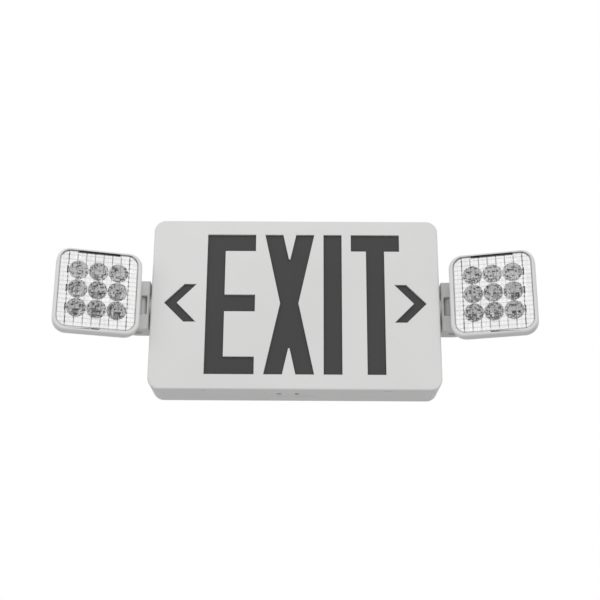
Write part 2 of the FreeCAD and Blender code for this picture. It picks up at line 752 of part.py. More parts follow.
def make_control_board():
    """Control board on four posts, with its transformer, terminal block and capacitor."""
    back = mm.housing_wall + mm.board_lift
    front = back + mm.board_wall
    left = board_x - mm.board_width / 2
    low = board_z - mm.board_height / 2
    board = box("control_board", mm.board_width, mm.board_wall, mm.board_height, left, -front, low)
    keep(board, "control_board")

    core = Piece("transformer")
    outline = rounded(core.sketch("XZ"), mm.transformer_width, mm.transformer_height, mm.board_wall)
    core.pad(outline, mm.transformer_deep)
    waist = core.sketch("XZ", mm.transformer_deep)
    for side in (-1, 1):
        far = side * mm.transformer_width
        near = side * mm.transformer_width * 3 / 8
        low_x, high_x = (near, far) if side > 0 else (far, near)
        for level in (-1, 1):
            edge = level * mm.transformer_height
            inner = level * mm.transformer_height / 4
            low_z, high_z = (inner, edge) if level > 0 else (edge, inner)
            rectangle(waist, low_x, low_z, high_x, high_z)
    core.pocket(waist, mm.transformer_deep / 4)
    core.done(left + mm.transformer_width, -front, board_z + mm.board_height / 4)

    block = Piece("terminal_block")
    block.pad(rectangle(block.sketch("XZ"), 0, 0, mm.terminal_width, mm.terminal_height), mm.terminal_deep)
    ways = block.sketch("XY", mm.terminal_height)
    for i in range(3):
        circle(ways, mm.terminal_bore, mm.terminal_width * (2 * i + 1) / 6, -mm.terminal_deep / 2)
    block.pocket(ways, mm.terminal_height * 3 / 4)
    block.done(board_x + mm.board_inset, -front, board_z + mm.board_height / 2 - 2 * mm.terminal_height)

    can = round_bar(
        "capacitor",
        mm.can_radius,
        mm.can_length,
        board_x + mm.board_width / 4,
        -front - mm.can_length,
        board_z - mm.board_height / 4,
    )
    keep(can, "capacitor")


def make_battery():
    """Shrink-wrapped pack of cells in its cradle, and the strap that holds it down."""
    pack = Piece("battery_pack")
    diameter = 2 * mm.cell_radius
    cells = pack.sketch("XY", -mm.cell_length / 2)
    # A hair under half the thickness keeps two short flats in the outline.
    rounded(cells, diameter * mm.cell_count, diameter, mm.cell_radius - mm.run_gap)
    pack.pad(cells, mm.cell_length)
    pack.done(pack_x, -mm.housing_wall - mm.cell_radius, pack_z)

    strap = Piece("battery_strap")
    inner = pack_half + mm.face_gap + mm.cradle_wall + mm.face_gap
    outer = inner + mm.strap_wall
    top = mm.housing_wall + diameter
    path = [
        (-outer - mm.strap_foot, -mm.housing_wall),
        (-inner, -mm.housing_wall),
        (-inner, -top),
        (inner, -top),
        (inner, -mm.housing_wall),
        (outer + mm.strap_foot, -mm.housing_wall),
        (outer + mm.strap_foot, -mm.housing_wall - mm.strap_wall),
        (outer, -mm.housing_wall - mm.strap_wall),
        (outer, -top - mm.strap_wall),
        (-outer, -top - mm.strap_wall),
        (-outer, -mm.housing_wall - mm.strap_wall),
        (-outer - mm.strap_foot, -mm.housing_wall - mm.strap_wall),
    ]
    strap.pad(polygon(strap.sketch("XY", -mm.strap_width / 2), path), mm.strap_width)
    strap.done(pack_x, 0, pack_z)


def make_test_group():
    """Test board, push button, return spring and status lamp over the underside."""
    board = box(
        "test_board",
        mm.test_board_width,
        mm.test_board_deep,
        mm.board_wall,
        -mm.test_board_width / 2,
        -mm.test_back - mm.test_board_deep / 2,
        test_board_low,
    )
    keep(board, "test_board")

    button = Piece("test_button")
    tip = mm.panel_sink + mm.button_sink - half_height
    flange_low = floor_top + mm.face_gap
    flange_top = flange_low + mm.flange_high
    stem_top = flange_top + mm.stem_high
    side = [
        (0, tip),
        (mm.button_radius, tip),
        (mm.button_radius, flange_low),
        (mm.button_flange, flange_low),
        (mm.button_flange, flange_top),
        (mm.stem_radius, flange_top),
        (mm.stem_radius, stem_top),
        (0, stem_top),
    ]
    button.revolve(polygon(button.sketch("XZ"), side), "V_Axis")
    button.done(mm.button_x, -mm.test_back)

    # The spring stands on the button's flange and pushes against the test board.
    height = test_board_low - flange_top
    coil_height = height - 2 * mm.wire_radius
    helix = doc.addObject("Part::Helix", "test_spring_path")
    bind(helix, "Height", coil_height)
    bind(helix, "Pitch", coil_height / mm.spring_turns)
    bind(helix, "Radius", mm.spring_radius)
    wire = doc.addObject("Part::RegularPolygon", "test_spring_wire")
    wire.Polygon = WIRE_SIDES
    bind(wire, "Circumradius", mm.wire_radius)
    wire.Placement = Placement(Vector(mm.spring_radius.value, 0, 0), Rotation(Vector(1, 0, 0), 90))
    bind(wire, "Placement.Base.x", mm.spring_radius)
    spring = doc.addObject("Part::Sweep", "test_spring")
    spring.Sections = [wire]
    spring.Spine = (helix, ["Edge1"])
    spring.Solid = True
    spring.Frenet = True
    place(spring, mm.button_x, -mm.test_back, flange_top + mm.wire_radius)
    keep(spring, "test_spring")

    lamp = Piece("status_lamp")
    rim_low = tip + mm.lamp_length
    rim_top = rim_low + mm.flange_high
    dome = mm.lamp_radius * 3 / 5
    side = [
        (0, tip),
        (mm.lamp_radius - dome, tip),
        (mm.lamp_radius - dome / 4, tip + dome / 3),
        (mm.lamp_radius, tip + dome),
        (mm.lamp_radius, rim_low),
        (mm.lamp_rim, rim_low),
        (mm.lamp_rim, rim_top),
        (0, rim_top),
    ]
    lamp.revolve(polygon(lamp.sketch("XZ"), side), "V_Axis")
    leads = lamp.sketch("XY", rim_top)
    for direction in (-1, 1):
        middle = direction * mm.lamp_radius / 2
        rectangle(
            leads,
            middle - mm.lead_side / 2,
            -mm.lead_side / 2,
            middle + mm.lead_side / 2,
            mm.lead_side / 2,
        )
    lamp.pad(leads, test_board_low - rim_top)
    lamp.done(mm.lamp_x, -mm.test_back)


class LampHead:
    """One arm and lamp head. side is 1 for the right head and -1 for the left."""

    def __init__(self, word, side):
        self.word = word
        self.side = side
        self.pivot = (side * pivot_x, -mm.arm_back, 0)
        self.head_place = (side * pivot_x, -mm.arm_back, mm.head_rise)
        self.middle = side * mm.head_side

    def turned(self, piece):
        """Place a piece of the head beside the pivot, turned inwards about it."""
        return piece.done(*self.head_place, turn=-self.side * mm.head_yaw)

    def across(self, near, far):
        """Return two level positions, low one first, on this head's side."""
        return (near, far) if self.side > 0 else (-far, -near)

    def make_bushing(self):
        """Flanged bushing in the housing's side wall."""
        piece = Piece(f"{self.word}_bushing")
        bore = mm.stub_radius + mm.run_gap
        tube = bore + mm.bush_wall
        inside = half_width - mm.housing_wall
        outside = half_width + mm.bush_face
        profile = [
            (inside, bore),
            (outside, bore),
            (outside, mm.bush_flange),
            (half_width, mm.bush_flange),
            (half_width, tube),
            (inside, tube),
        ]
        piece.revolve(polygon(piece.sketch("XY"), [(self.side * x, r) for x, r in profile]), "H_Axis")
        return piece.done(0, -mm.arm_back)

    def make_arm(self):
        """Hollow stub that turns in the bushing, with a two-lug yoke for the head's tongue."""
        piece = Piece(f"{self.word}_arm")
        wall_in = half_width - mm.housing_wall - pivot_x
        nut_in = wall_in - mm.face_gap - mm.washer_wall - mm.washer_cone - mm.nut_wall
        end = nut_in - mm.stub_tail
        collar_in = half_width + mm.bush_face + mm.fit_gap - pivot_x
        profile = [
            (end, 0),
            (-mm.tongue_radius, 0),
            (-mm.tongue_radius, mm.stub_radius),
            (-mm.yoke_radius, mm.stub_radius),
            (-mm.yoke_radius, mm.collar_radius),
            (collar_in, mm.collar_radius),
            (collar_in, mm.stub_radius),
            (end, mm.stub_radius),
        ]
        piece.revolve(polygon(piece.sketch("XY"), [(self.side * x, r) for x, r in profile]), "H_Axis")

        # The yoke is square towards the housing and round towards the head.
        bottom = -mm.yoke_height / 2
        low, high = self.across(-mm.yoke_radius, Size.of(0))
        square = rectangle(piece.sketch("XY", bottom), low, -mm.yoke_radius, high, mm.yoke_radius)
        piece.pad(square, mm.yoke_height)
        upright = mm.yoke_height.value - 0.01
        near = mm.yoke_radius.value - 0.01
        piece.round_edges(
            mm.yoke_round,
            lambda edge: edge.ZLength > upright and min(abs(edge.XMin), abs(edge.XMax)) > near,
        )
        piece.pad(circle(piece.sketch("XY", bottom), mm.yoke_radius), mm.yoke_height)

        # The slot: a round room for the tongue, open at the front and towards the head.
        piece.pocket(circle(piece.sketch("XY", slot_half), slot_radius), 2 * slot_half)
        mouth = piece.sketch("XY", slot_half)
        reach = 2 * mm.yoke_radius
        corners = [
            (-slot_radius, 0),
            (-slot_radius, -reach),
            (reach, -reach),
            (reach, reach),
            (0, reach),
            (0, 0),
        ]
        polygon(mouth, [(self.side * x, y) for x, y in corners])
        piece.pocket(mouth, 2 * slot_half)

        # Wire way through the stub into the slot.
        way = circle(piece.sketch("YZ"), mm.stub_bore)
        piece.pocket(way, -end, backwards=self.side < 0)

        # Pin hole from below, with a counterbore for the pin's head.
        pin_hole = circle(piece.sketch("XY", bottom), mm.pin_radius + mm.run_gap)
        piece.pocket(pin_hole, mm.yoke_height - mm.pin_cover + mm.face_gap, backwards=True)
        sink = circle(piece.sketch("XY", bottom), mm.pin_head + mm.fit_gap)
        piece.pocket(sink, mm.pin_head_high + mm.fit_gap, backwards=True)
        return piece.done(*self.pivot)

    def make_washer(self):
        """Coned spring washer that gives the arm its friction."""
        piece = Piece(f"{self.word}_spring_washer")
        bore = mm.stub_radius + mm.run_gap
        near = half_width - mm.housing_wall - mm.face_gap - pivot_x
        profile = [
            (near, mm.washer_radius),
            (near - mm.washer_cone, bore),
            (near - mm.washer_cone - mm.washer_wall, bore),
            (near - mm.washer_wall, mm.washer_radius),
        ]
        piece.revolve(polygon(piece.sketch("XY"), [(self.side * x, r) for x, r in profile]), "H_Axis")
        return piece.done(*self.pivot)

    def make_nut(self):
        """Hexagon nut on the stub's inner end."""
        piece = Piece(f"{self.word}_arm_nut")
        start = half_width - mm.housing_wall - mm.face_gap - mm.washer_cone - mm.washer_wall - pivot_x
        corners = [
            (mm.nut_radius * math.cos(math.radians(60 * i)), mm.nut_radius * math.sin(math.radians(60 * i)))
            for i in range(6)
        ]
        lift = self.side * start if self.side < 0 else start - mm.nut_wall
        blank = polygon(piece.sketch("YZ", lift), corners)
        circle(blank, mm.stub_radius + mm.run_gap)
        piece.pad(blank, mm.nut_wall)
        return piece.done(*self.pivot)

    def make_shell(self):
        """Moulded lamp body with a raised rim, and a tongue that turns in the arm's yoke."""
        piece = Piece(f"{self.word}_head_shell")
        shoulder = mm.head_front - mm.head_straight
        back = mm.head_front - mm.head_depth
        outside = (mm.head_width, mm.head_height, mm.head_corner, self.middle)
        behind = (mm.head_back_width, mm.head_back_height, mm.head_back_corner, self.middle)
        piece.pad(rounded(piece.sketch("XZ", shoulder), *outside), mm.head_straight)
        rim = -mm.head_front.value
        piece.round_edges(mm.head_round, lambda edge: edge.YMax < rim + 0.01)
        wide = rounded(piece.sketch("XZ", shoulder), *outside)
        narrow = rounded(piece.sketch("XZ", back), *behind)
        piece.loft(wide, narrow)

        # Tongue: a short barrel round the pin, and a neck that runs into the tapered back.
        low = -mm.head_rise - mm.tongue_half
        piece.pad(circle(piece.sketch("XY", low), mm.tongue_radius), 2 * mm.tongue_half)
        inner_side = mm.head_side - half_head
        neck = [
            (-mm.tongue_radius / 4, -mm.tongue_radius * 0.96),
            (inner_side + mm.head_wall / 2, -shoulder),
            (inner_side + mm.head_rim * 3, mm.head_wall - shoulder),
            (mm.head_side - mm.head_back_width / 4, -back - mm.head_wall / 2),
            (mm.tongue_radius / 2, mm.tongue_radius * 0.86),
        ]
        outline = polygon(piece.sketch("XY", low), [(self.side * x, y) for x, y in neck])
        piece.pad(outline, 2 * mm.tongue_half)

        # Inside: the lens window, then a tapered room for the lamps' wiring.
        window = rounded(
            piece.sketch("XZ", mm.head_front), window_width, window_height, window_corner, self.middle
        )
        piece.pocket(window, mm.head_front - lamp_step)
        room_width = mm.head_width - 2 * (mm.head_rim + mm.head_wall + mm.board_wall)
        room_height = mm.head_height - 2 * (mm.head_rim + mm.head_wall + mm.board_wall)
        front_end = piece.sketch("XZ", lamp_step)
        open_end = rounded(front_end, room_width, room_height, window_corner, self.middle)
        closed_end = rounded(
            piece.sketch("XZ", back + mm.head_wall),
            mm.head_back_width - 3 * mm.head_wall,
            mm.head_back_height - 3 * mm.head_wall,
            mm.head_back_corner - mm.head_wall,
            self.middle,
        )
        piece.loft(open_end, closed_end, cut=True)

        # Hole for the pivot pin through the tongue.
        pin_hole = circle(piece.sketch("XY", low), mm.pin_radius + mm.run_gap)
        piece.pocket(pin_hole, 2 * mm.tongue_half, backwards=True)

        # Pry notch in the rim under the lens.
        low_edge = -window_height / 2
        notch = rectangle(
            piece.sketch("XZ", mm.head_front),
            self.middle - mm.lens_notch / 2,
            low_edge - mm.lens_notch_deep,
            self.middle + mm.lens_notch / 2,
            low_edge + mm.lens_notch_deep,
        )
        piece.pocket(notch, mm.lens_sink + mm.lens_wall)
        return self.turned(piece)

    def make_pin(self):
        """Headed pin through the yoke's lugs and the head's tongue."""
        piece = Piece(f"{self.word}_pivot_pin")
        bottom = mm.fit_gap - mm.yoke_height / 2
        top = mm.yoke_height / 2 - mm.pin_cover
        profile = [
            (0, bottom),
            (mm.pin_head, bottom),
            (mm.pin_head, bottom + mm.pin_head_high),
            (mm.pin_radius, bottom + mm.pin_head_high),
            (mm.pin_radius, top),
            (0, top),
        ]
        piece.revolve(polygon(piece.sketch("XZ"), profile), "V_Axis")
        return piece.done(*self.pivot)

    def make_lens(self):
        """Clear lens inside the rim, with two snap slots along its top edge."""
        piece = Piece(f"{self.word}_lens")
        height = window_height - window_fit
        plate = rounded(
            piece.sketch("XZ", lens_back),
            window_width - window_fit,
            height,
            window_corner - mm.fit_gap,
            self.middle,
        )
        piece.pad(plate, mm.lens_wall)
        slots = piece.sketch("XZ", lens_back + mm.lens_wall)
        for side in (-1, 1):
            near = self.middle + side * mm.lens_bridge / 2
            far = near + side * mm.lens_slot
            low, high = (near, far) if side > 0 else (far, near)
            rectangle(slots, low, height / 2 - mm.lens_slot_deep, high, height / 2 + mm.lens_slot_deep)
        piece.pocket(slots, mm.lens_wall)
        return self.turned(piece)

    def cup_places(self):
        """Return the middles of the nine cups."""
        return [(self.middle + i * mm.cup_pitch, k * mm.cup_pitch) for k in (-1, 0, 1) for i in (-1, 0, 1)]

    def make_lamp_board(self):
        """Square circuit board on the step behind the cups."""
        piece = Piece(f"{self.word}_lamp_board")
        outline = rounded(
            piece.sketch("XZ", lamp_step),
            window_width - window_fit,
            window_height - window_fit,
            window_corner - mm.fit_gap,
            self.middle,
        )
        piece.pad(outline, mm.board_wall)
        return self.turned(piece)

    def make_lamps(self):
        """Nine lamps on the board, one at the base of each cup."""
        name = f"{self.word}_lamps"
        front = lamp_step + mm.board_wall + mm.lamp_high
        chips = [
            box(
                f"{name}_{i + 1}",
                mm.lamp_side,
                mm.lamp_high,
                mm.lamp_side,
                x - mm.lamp_side / 2,
                -front,
                Size.of(z) - mm.lamp_side / 2,
            )
            for i, (x, z) in enumerate(self.cup_places())
        ]
        group = doc.addObject("Part::Compound", name)
        group.Links = chips
        place(group, *self.head_place, turn=-self.side * mm.head_yaw)
        return keep(group, name)

    def make_reflector(self):
        """Plate with nine bright cups, open at the front and at each lamp."""
        name = f"{self.word}_reflector"
        blank = Piece(f"{name}_blank")
        outline = rounded(
            blank.sketch("XZ", lens_back - mm.cup_plate),
            window_width - window_fit,
            window_height - window_fit,
            window_corner - mm.fit_gap,
            self.middle,
        )
        blank.pad(outline, mm.cup_plate)
        half_way = mm.cup_depth / 2
        stages = (
            ("mouth", Size.of(0), mm.cup_mouth, mm.cup_waist),
            ("base", half_way, mm.cup_waist, mm.cup_base),
        )
        outsides = [blank.body]
        insides = []
        for i, (x, z) in enumerate(self.cup_places()):
            for word, start, wide, narrow in stages:
                spot = (half_way, x, start - lens_back, z)
                outer = f"{name}_{word}_outside_{i + 1}"
                inner = f"{name}_{word}_inside_{i + 1}"
                outsides.append(round_bar(outer, wide + mm.cup_wall, *spot, narrow + mm.cup_wall))
                insides.append(round_bar(inner, wide, *spot, narrow))
        bright = cut(name, fuse(f"{name}_outside", outsides), fuse(f"{name}_inside", insides))
        place(bright, *self.head_place, turn=-self.side * mm.head_yaw)
        return keep(bright, name)

    def make(self):
        """Make every piece of this side."""
        self.make_bushing()
        self.make_arm()
        self.make_washer()
        self.make_nut()
        self.make_shell()
        self.make_pin()
        self.make_lamp_board()
        self.make_lamps()
        self.make_reflector()
        self.make_lens()


def check_and_export():
    """Stop on any failed feature, then write each sub-part to its own file."""
    doc.recompute()
    failed = [item.Name for item in doc.Objects if {"Invalid", "Error"} & set(item.State)]
    if failed:
        raise RuntimeError(f"failed features: {failed}")
    for node in nodes:
        if node.Shape.isNull() or not node.Shape.isValid():
            raise RuntimeError(f"{node.Label} has no valid shape")
    os.makedirs(PARTS_FOLDER, exist_ok=True)
    for node in nodes:
        node.Shape.exportStep(os.path.join(PARTS_FOLDER, f"{node.Label}.step"))
        print(f"{node.Label:22s} solids {len(node.Shape.Solids):2d}  {node.Shape.Volume:10.1f} mm3")


make_back_plate()
make_back_housing()
make_front_cover()
make_diffuser()
make_light_tray()
make_lamp_strip("upper_lamp_strip", 1)
make_lamp_strip("lower_lamp_strip", -1)
make_control_board()
make_battery()
make_test_group()
for word, side in (("left", -1), ("right", 1)):
    LampHead(word, side).make()
check_and_export()
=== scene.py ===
"""Emergency exit light: the looks of the wall housing, its stencil cover and two lamp heads.

Metres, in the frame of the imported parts: +X is the reader's right, -Y points out of the wall
and +Z is up. The origin is the middle of the housing's flat back. Sizes are written in
millimetres and turned into metres where a mesh is made.
"""
import json
import logging
import math
from contextlib import contextmanager
from dataclasses import dataclass
from enum import Enum
from functools import cache
from typing import Callable, Iterator, Sequence

import bmesh
import bpy
from mathutils import Matrix, Vector


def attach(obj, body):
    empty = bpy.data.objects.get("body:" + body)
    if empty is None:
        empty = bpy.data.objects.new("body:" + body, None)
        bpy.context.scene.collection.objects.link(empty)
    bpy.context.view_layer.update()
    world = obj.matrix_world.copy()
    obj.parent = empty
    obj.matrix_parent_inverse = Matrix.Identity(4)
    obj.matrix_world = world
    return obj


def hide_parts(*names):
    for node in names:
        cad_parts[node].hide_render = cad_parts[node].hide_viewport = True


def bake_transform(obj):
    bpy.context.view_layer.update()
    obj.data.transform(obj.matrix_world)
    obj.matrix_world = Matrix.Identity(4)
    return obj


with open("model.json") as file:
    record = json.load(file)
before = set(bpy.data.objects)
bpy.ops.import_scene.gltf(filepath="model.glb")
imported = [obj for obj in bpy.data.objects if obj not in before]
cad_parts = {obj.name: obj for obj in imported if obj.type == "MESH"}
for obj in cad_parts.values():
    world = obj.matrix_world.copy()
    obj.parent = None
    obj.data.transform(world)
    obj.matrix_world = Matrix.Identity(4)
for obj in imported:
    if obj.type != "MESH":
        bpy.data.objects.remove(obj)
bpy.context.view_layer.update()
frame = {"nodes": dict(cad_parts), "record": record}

LOG = logging.getLogger("exit_light")
MM = 0.001
NEAR = 1e-5
Colour = tuple[float, float, float]
Point = tuple[float, float]
Node, Socket, Tree, Material = bpy.types.Node, bpy.types.NodeSocket, bpy.types.NodeTree, bpy.types.Material


class Side(Enum):
    """The reader's side of the housing that a lamp head stands on."""

    LEFT = -1
    RIGHT = 1

    @property
    def word(self) -> str:
        """The side's name as the nodes and bodies spell it."""
        return self.name.lower()


class Part(Enum):
    """What an edit-mode selection is made of."""

    VERTEX = "VERT"
    EDGE = "EDGE"
    FACE = "FACE"


# --- Modelling ---


def deselect_everything() -> None:
    """Leave edit mode and clear the selection, so that an operator meets only its own piece."""
    if bpy.context.object and bpy.context.object.mode != "OBJECT":
        bpy.ops.object.mode_set(mode="OBJECT")
    bpy.ops.object.select_all(action="DESELECT")


def select_whole() -> None:
    """Select everything in edit mode."""
    bpy.ops.mesh.select_all(action="SELECT")


def shift(x: float, y: float, z: float) -> Matrix:
    """A move by an offset in millimetres."""
    return Matrix.Translation(Vector((x, y, z)) * MM)


def dress(item: bpy.types.Object, material: Material) -> None:
    """Give an object one finish all over."""
    item.data.materials.clear()
    item.data.materials.append(material)


class Workpiece:
    """One mesh on the bench: a primitive that is shaped in edit mode and then finished."""

    def __init__(self, name: str) -> None:
        """Take the object that an operator has just made."""
        self.item: bpy.types.Object = bpy.context.object
        self.item.name = name
        self.item.data.name = name

    @classmethod
    def block(cls, name: str, low: Sequence[float], high: Sequence[float]) -> "Workpiece":
        """Add a block between two corners.

        Args:
            name: the piece's name.
            low: lowest corner in millimetres.
            high: highest corner in millimetres.

        Returns:
            The block, with its place in its mesh.
        """
        deselect_everything()
        low_corner, high_corner = Vector(low) * MM, Vector(high) * MM
        bpy.ops.mesh.primitive_cube_add(
            size=1, location=(low_corner + high_corner) / 2, scale=high_corner - low_corner
        )
        piece = cls(name)
        piece.settle()
        return piece

    @classmethod
    def outline(cls, name: str, corners: Sequence[Point], depth: float, reach: float) -> "Workpiece":
        """Add a flat outline that faces the reader and draw it out into a solid.

        Args:
            name: the piece's name.
            corners: corners of the outline as (x, z) in millimetres.
            depth: the outline's Y in millimetres.
            reach: how far the solid goes along Y, in millimetres.

        Returns:
            The solid.
        """
        deselect_everything()
        bpy.ops.mesh.primitive_circle_add(vertices=len(corners), radius=1, fill_type="NGON")
        piece = cls(name)
        for vertex, (x, z) in zip(piece.item.data.vertices, corners):
            vertex.co = Vector((x, depth, z)) * MM
        with piece.editing():
            select_whole()
            piece.extrude((0, reach, 0))
        piece.close_normals()
        return piece

    @classmethod
    def tube(
        cls, name: str, radius: float, length: float, sides: int, turn: Sequence[float] = (0, 0, 0)
    ) -> "Workpiece":
        """Add a round bar about its own middle.

        Args:
            name: the piece's name.
            radius: radius in millimetres.
            length: length in millimetres, along Z before it is turned.
            sides: how many sides it has.
            turn: turn about X, Y and Z in radians.

        Returns:
            The bar, with its turn in its mesh.
        """
        deselect_everything()
        bpy.ops.mesh.primitive_cylinder_add(
            vertices=sides, radius=radius * MM, depth=length * MM, rotation=turn
        )
        piece = cls(name)
        piece.settle()
        return piece

    @classmethod
    def copy_of(cls, node: bpy.types.Object, name: str) -> "Workpiece":
        """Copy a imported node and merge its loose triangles.

        Args:
            node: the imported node.
            name: the copy's name.

        Returns:
            The merged copy.
        """
        deselect_everything()
        twin = node.copy()
        twin.data = node.data.copy()
        twin.parent = None
        twin.matrix_world = Matrix.Identity(4)
        for key in list(twin.keys()):
            del twin[key]
        bpy.context.scene.collection.objects.link(twin)
        twin.select_set(True)
        bpy.context.view_layer.objects.active = twin
        piece = cls(name)
        with piece.editing():
            select_whole()
            bpy.ops.mesh.remove_doubles(threshold=2e-6)
        return piece

    def activate(self) -> None:
        """Make this piece the only one that operators act on."""
        deselect_everything()
        self.item.select_set(True)
        bpy.context.view_layer.objects.active = self.item

    def settle(self) -> None:
        """Put the piece's place, turn and scale into its mesh."""
        self.activate()
        bpy.ops.object.transform_apply(location=True, rotation=True, scale=True)

    def move(self, place: Matrix) -> None:
        """Put the piece at a place, in its mesh."""
        self.item.matrix_world = place
        self.settle()

    @contextmanager
    def editing(self) -> Iterator[None]:
        """Hold the piece in edit mode."""
        self.activate()
        bpy.ops.object.mode_set(mode="EDIT")
        yield
        bpy.ops.object.mode_set(mode="OBJECT")

    def pick(self, part: Part, test: Callable[..., bool]) -> None:
        """Select the vertices, edges or faces that pass a test.

        Args:
            part: what is selected.
            test: takes a BMesh element and says whether it is wanted.
        """
        bpy.ops.mesh.select_mode(type=part.value)
        bpy.ops.mesh.select_all(action="DESELECT")
        mesh = bmesh.from_edit_mesh(self.item.data)
        elements = {Part.VERTEX: mesh.verts, Part.EDGE: mesh.edges, Part.FACE: mesh.faces}[part]
        for element in elements:
            if test(element):
                element.select_set(True)
        mesh.select_flush_mode()
        bmesh.update_edit_mesh(self.item.data)

    def pick_level(self, depth: float) -> None:
        """Select the edges that lie at one Y, in millimetres."""
        self.pick(Part.EDGE, lambda e: all(abs(v.co.y - depth * MM) < NEAR for v in e.verts))

    def pick_corners(self) -> None:
        """Select the edges that run from front to back."""
        self.pick(Part.EDGE, lambda e: abs(e.verts[0].co.y - e.verts[1].co.y) > NEAR)

    @staticmethod
    def extrude(offset: Sequence[float]) -> None:
        """Draw the selection out by an offset in millimetres."""
        bpy.ops.mesh.extrude_region_move(
            TRANSFORM_OT_translate={"value": Vector(offset) * MM}
        )

    @staticmethod
    def inset(margin: float) -> None:
        """Inset the selected faces by a margin in millimetres."""
        bpy.ops.mesh.inset(thickness=margin * MM, depth=0)

    @staticmethod
    def bevel(width: float, segments: int) -> None:
        """Round the selected edges to a width in millimetres."""
        bpy.ops.mesh.bevel(
            offset_type="OFFSET", offset=width * MM, segments=segments, affect="EDGES"
        )

    def modify(self, kind: str, **settings: object) -> None:
        """Add a modifier with its settings and apply it."""
        self.activate()
        modifier = self.item.modifiers.new(kind.title(), kind)
        for key, value in settings.items():
            setattr(modifier, key, value)
        bpy.ops.object.modifier_apply(modifier=modifier.name)

    def carve(self, tool: "Workpiece", operation: str = "DIFFERENCE") -> None:
        """Combine the piece with a tool by a boolean, and remove the tool."""
        self.modify("BOOLEAN", object=tool.item, operation=operation, solver="EXACT")
        tool.discard()

    def discard(self) -> None:
        """Remove the piece and its mesh."""
        mesh = self.item.data
        bpy.data.objects.remove(self.item)
        bpy.data.meshes.remove(mesh)

    def join(self, others: Sequence["Workpiece"]) -> None:
        """Join other pieces into this one's mesh."""
        self.activate()
        for other in others:
            other.item.select_set(True)
        bpy.ops.object.join()

    def duplicate(self, name: str, place: Matrix) -> "Workpiece":
        """Copy the piece, with its own mesh, to another place."""
        self.activate()
        bpy.ops.object.duplicate(linked=False)
        twin = Workpiece(name)
        twin.move(place)
        twin.close_normals()
        return twin

    def close_normals(self) -> None:
        """Turn every face of the closed mesh outward."""
        with self.editing():
            select_whole()
            bpy.ops.mesh.normals_make_consistent(inside=False)

    def map_front(self, left: float, low: float) -> None:
        """Give the piece a map of its front, in millimetres from a low left corner."""
        mesh = self.item.data
        for spare in list(mesh.uv_layers):
            mesh.uv_layers.remove(spare)
        layer = mesh.uv_layers.new(name="front")
        for loop, spot in zip(mesh.loops, layer.data):
            place = mesh.vertices[loop.vertex_index].co / MM
            spot.uv = (place.x - left, place.z - low)

    def soften(self, width: float, segments: int = 2, angle: float = 50) -> None:
        """Break the sharp edges that are left.

        Args:
            width: width of the broken edge in millimetres.
            segments: steps round the edge.
            angle: the least angle of an edge that is broken, in degrees.
        """
        self.modify(
            "BEVEL",
            width=width * MM,
            segments=segments,
            limit_method="ANGLE",
            angle_limit=math.radians(angle),
            miter_outer="MITER_ARC",
        )

    def smooth(self, angle: float = 32) -> None:
        """Shade the piece smooth below an angle in degrees, with flat faces kept flat."""
        self.activate()
        bpy.ops.object.shade_smooth_by_angle(angle=math.radians(angle))
        self.modify("WEIGHTED_NORMAL", keep_sharp=True, weight=80)

    def close(
        self, material: Material, slot: str, body: str, replaces: Sequence[str] = ()
    ) -> None:
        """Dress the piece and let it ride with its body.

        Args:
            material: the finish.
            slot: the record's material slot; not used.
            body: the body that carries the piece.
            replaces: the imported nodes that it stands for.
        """
        dress(self.item, material)
        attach(self.item, body)
        if replaces:
            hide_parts(*replaces)
        LOG.info("%s: %d faces on %s", self.item.name, len(self.item.data.polygons), body)


# --- Finishes ---


class Wiring:
    """Adds and links the nodes of one shader tree."""

    def __init__(self, tree: Tree) -> None:
        """Keep the tree."""
        self.tree = tree

    def add(self, kind: str, inputs: dict[str, object] | None = None, **settings: object) -> Node:
        """Add a node.

        Args:
            kind: the node's type, without the leading ShaderNode.
            inputs: values or sockets for its inputs, by name or index.
            settings: the node's own properties.

        Returns:
            The node.
        """
        node = self.tree.nodes.new(kind if kind.startswith("Node") else f"ShaderNode{kind}")
        for key, value in settings.items():
            setattr(node, key, value)
        for key, value in (inputs or {}).items():
            self.feed(node, key, value)
        return node

    def feed(self, node: Node, key: str | int, value: object) -> None:
        """Set an input to a value, or link a socket to it."""
        if isinstance(value, Socket):
            self.tree.links.new(value, node.inputs[key])
        else:
            node.inputs[key].default_value = value

    def maths(self, operation: str, *values: object, clamp: bool = False) -> Socket:
        """Add a Math node and return its result."""
        node = self.add("Math", dict(enumerate(values)), operation=operation, use_clamp=clamp)
        return node.outputs[0]

    def blend(self, factor: object, first: object, second: object) -> Socket:
        """Mix two colours and return the result."""
        node = self.add("Mix", data_type="RGBA")
        self.feed(node, 0, factor)
        self.feed(node, 6, first)
        self.feed(node, 7, second)
        return node.outputs[2]

    def spread(self, value: object, low: float, high: float, to_low: float, to_high: float) -> Socket:
        """Map a value from one range to another, clamped, and return it."""
        node = self.add("MapRange", dict(enumerate((value, low, high, to_low, to_high))))
        return node.outputs[0]

    def find(self, kind: str) -> Node:
        """The tree's own node of a type."""
        return next(node for node in self.tree.nodes if node.type == kind)

    def where(self) -> Socket:
        """Add a texture coordinate and return the place on the object."""
        return self.add("TexCoord").outputs["Object"]

    def bump(self, shader: Node, strength: float, distance: float, height: object) -> None:
        """Raise a shader's surface by a height."""
        node = self.add("Bump", {"Strength": strength, "Distance": distance, "Height": height})
        self.feed(shader, "Normal", node.outputs[0])

    def noise(self, scale: object, detail: float, where: object, roughness: float = 0.5) -> Socket:
        """Add a noise of a scale per metre and return its value."""
        values = {"Vector": where, "Scale": scale, "Detail": detail, "Roughness": roughness}
        return self.add("TexNoise", values).outputs[0]


def grey(tone: float) -> Colour:
    """A colour without hue."""
    return (tone, tone, tone)


def rgba(colour: Colour) -> tuple[float, float, float, float]:
    """A colour with full alpha."""
    return (*colour, 1.0)


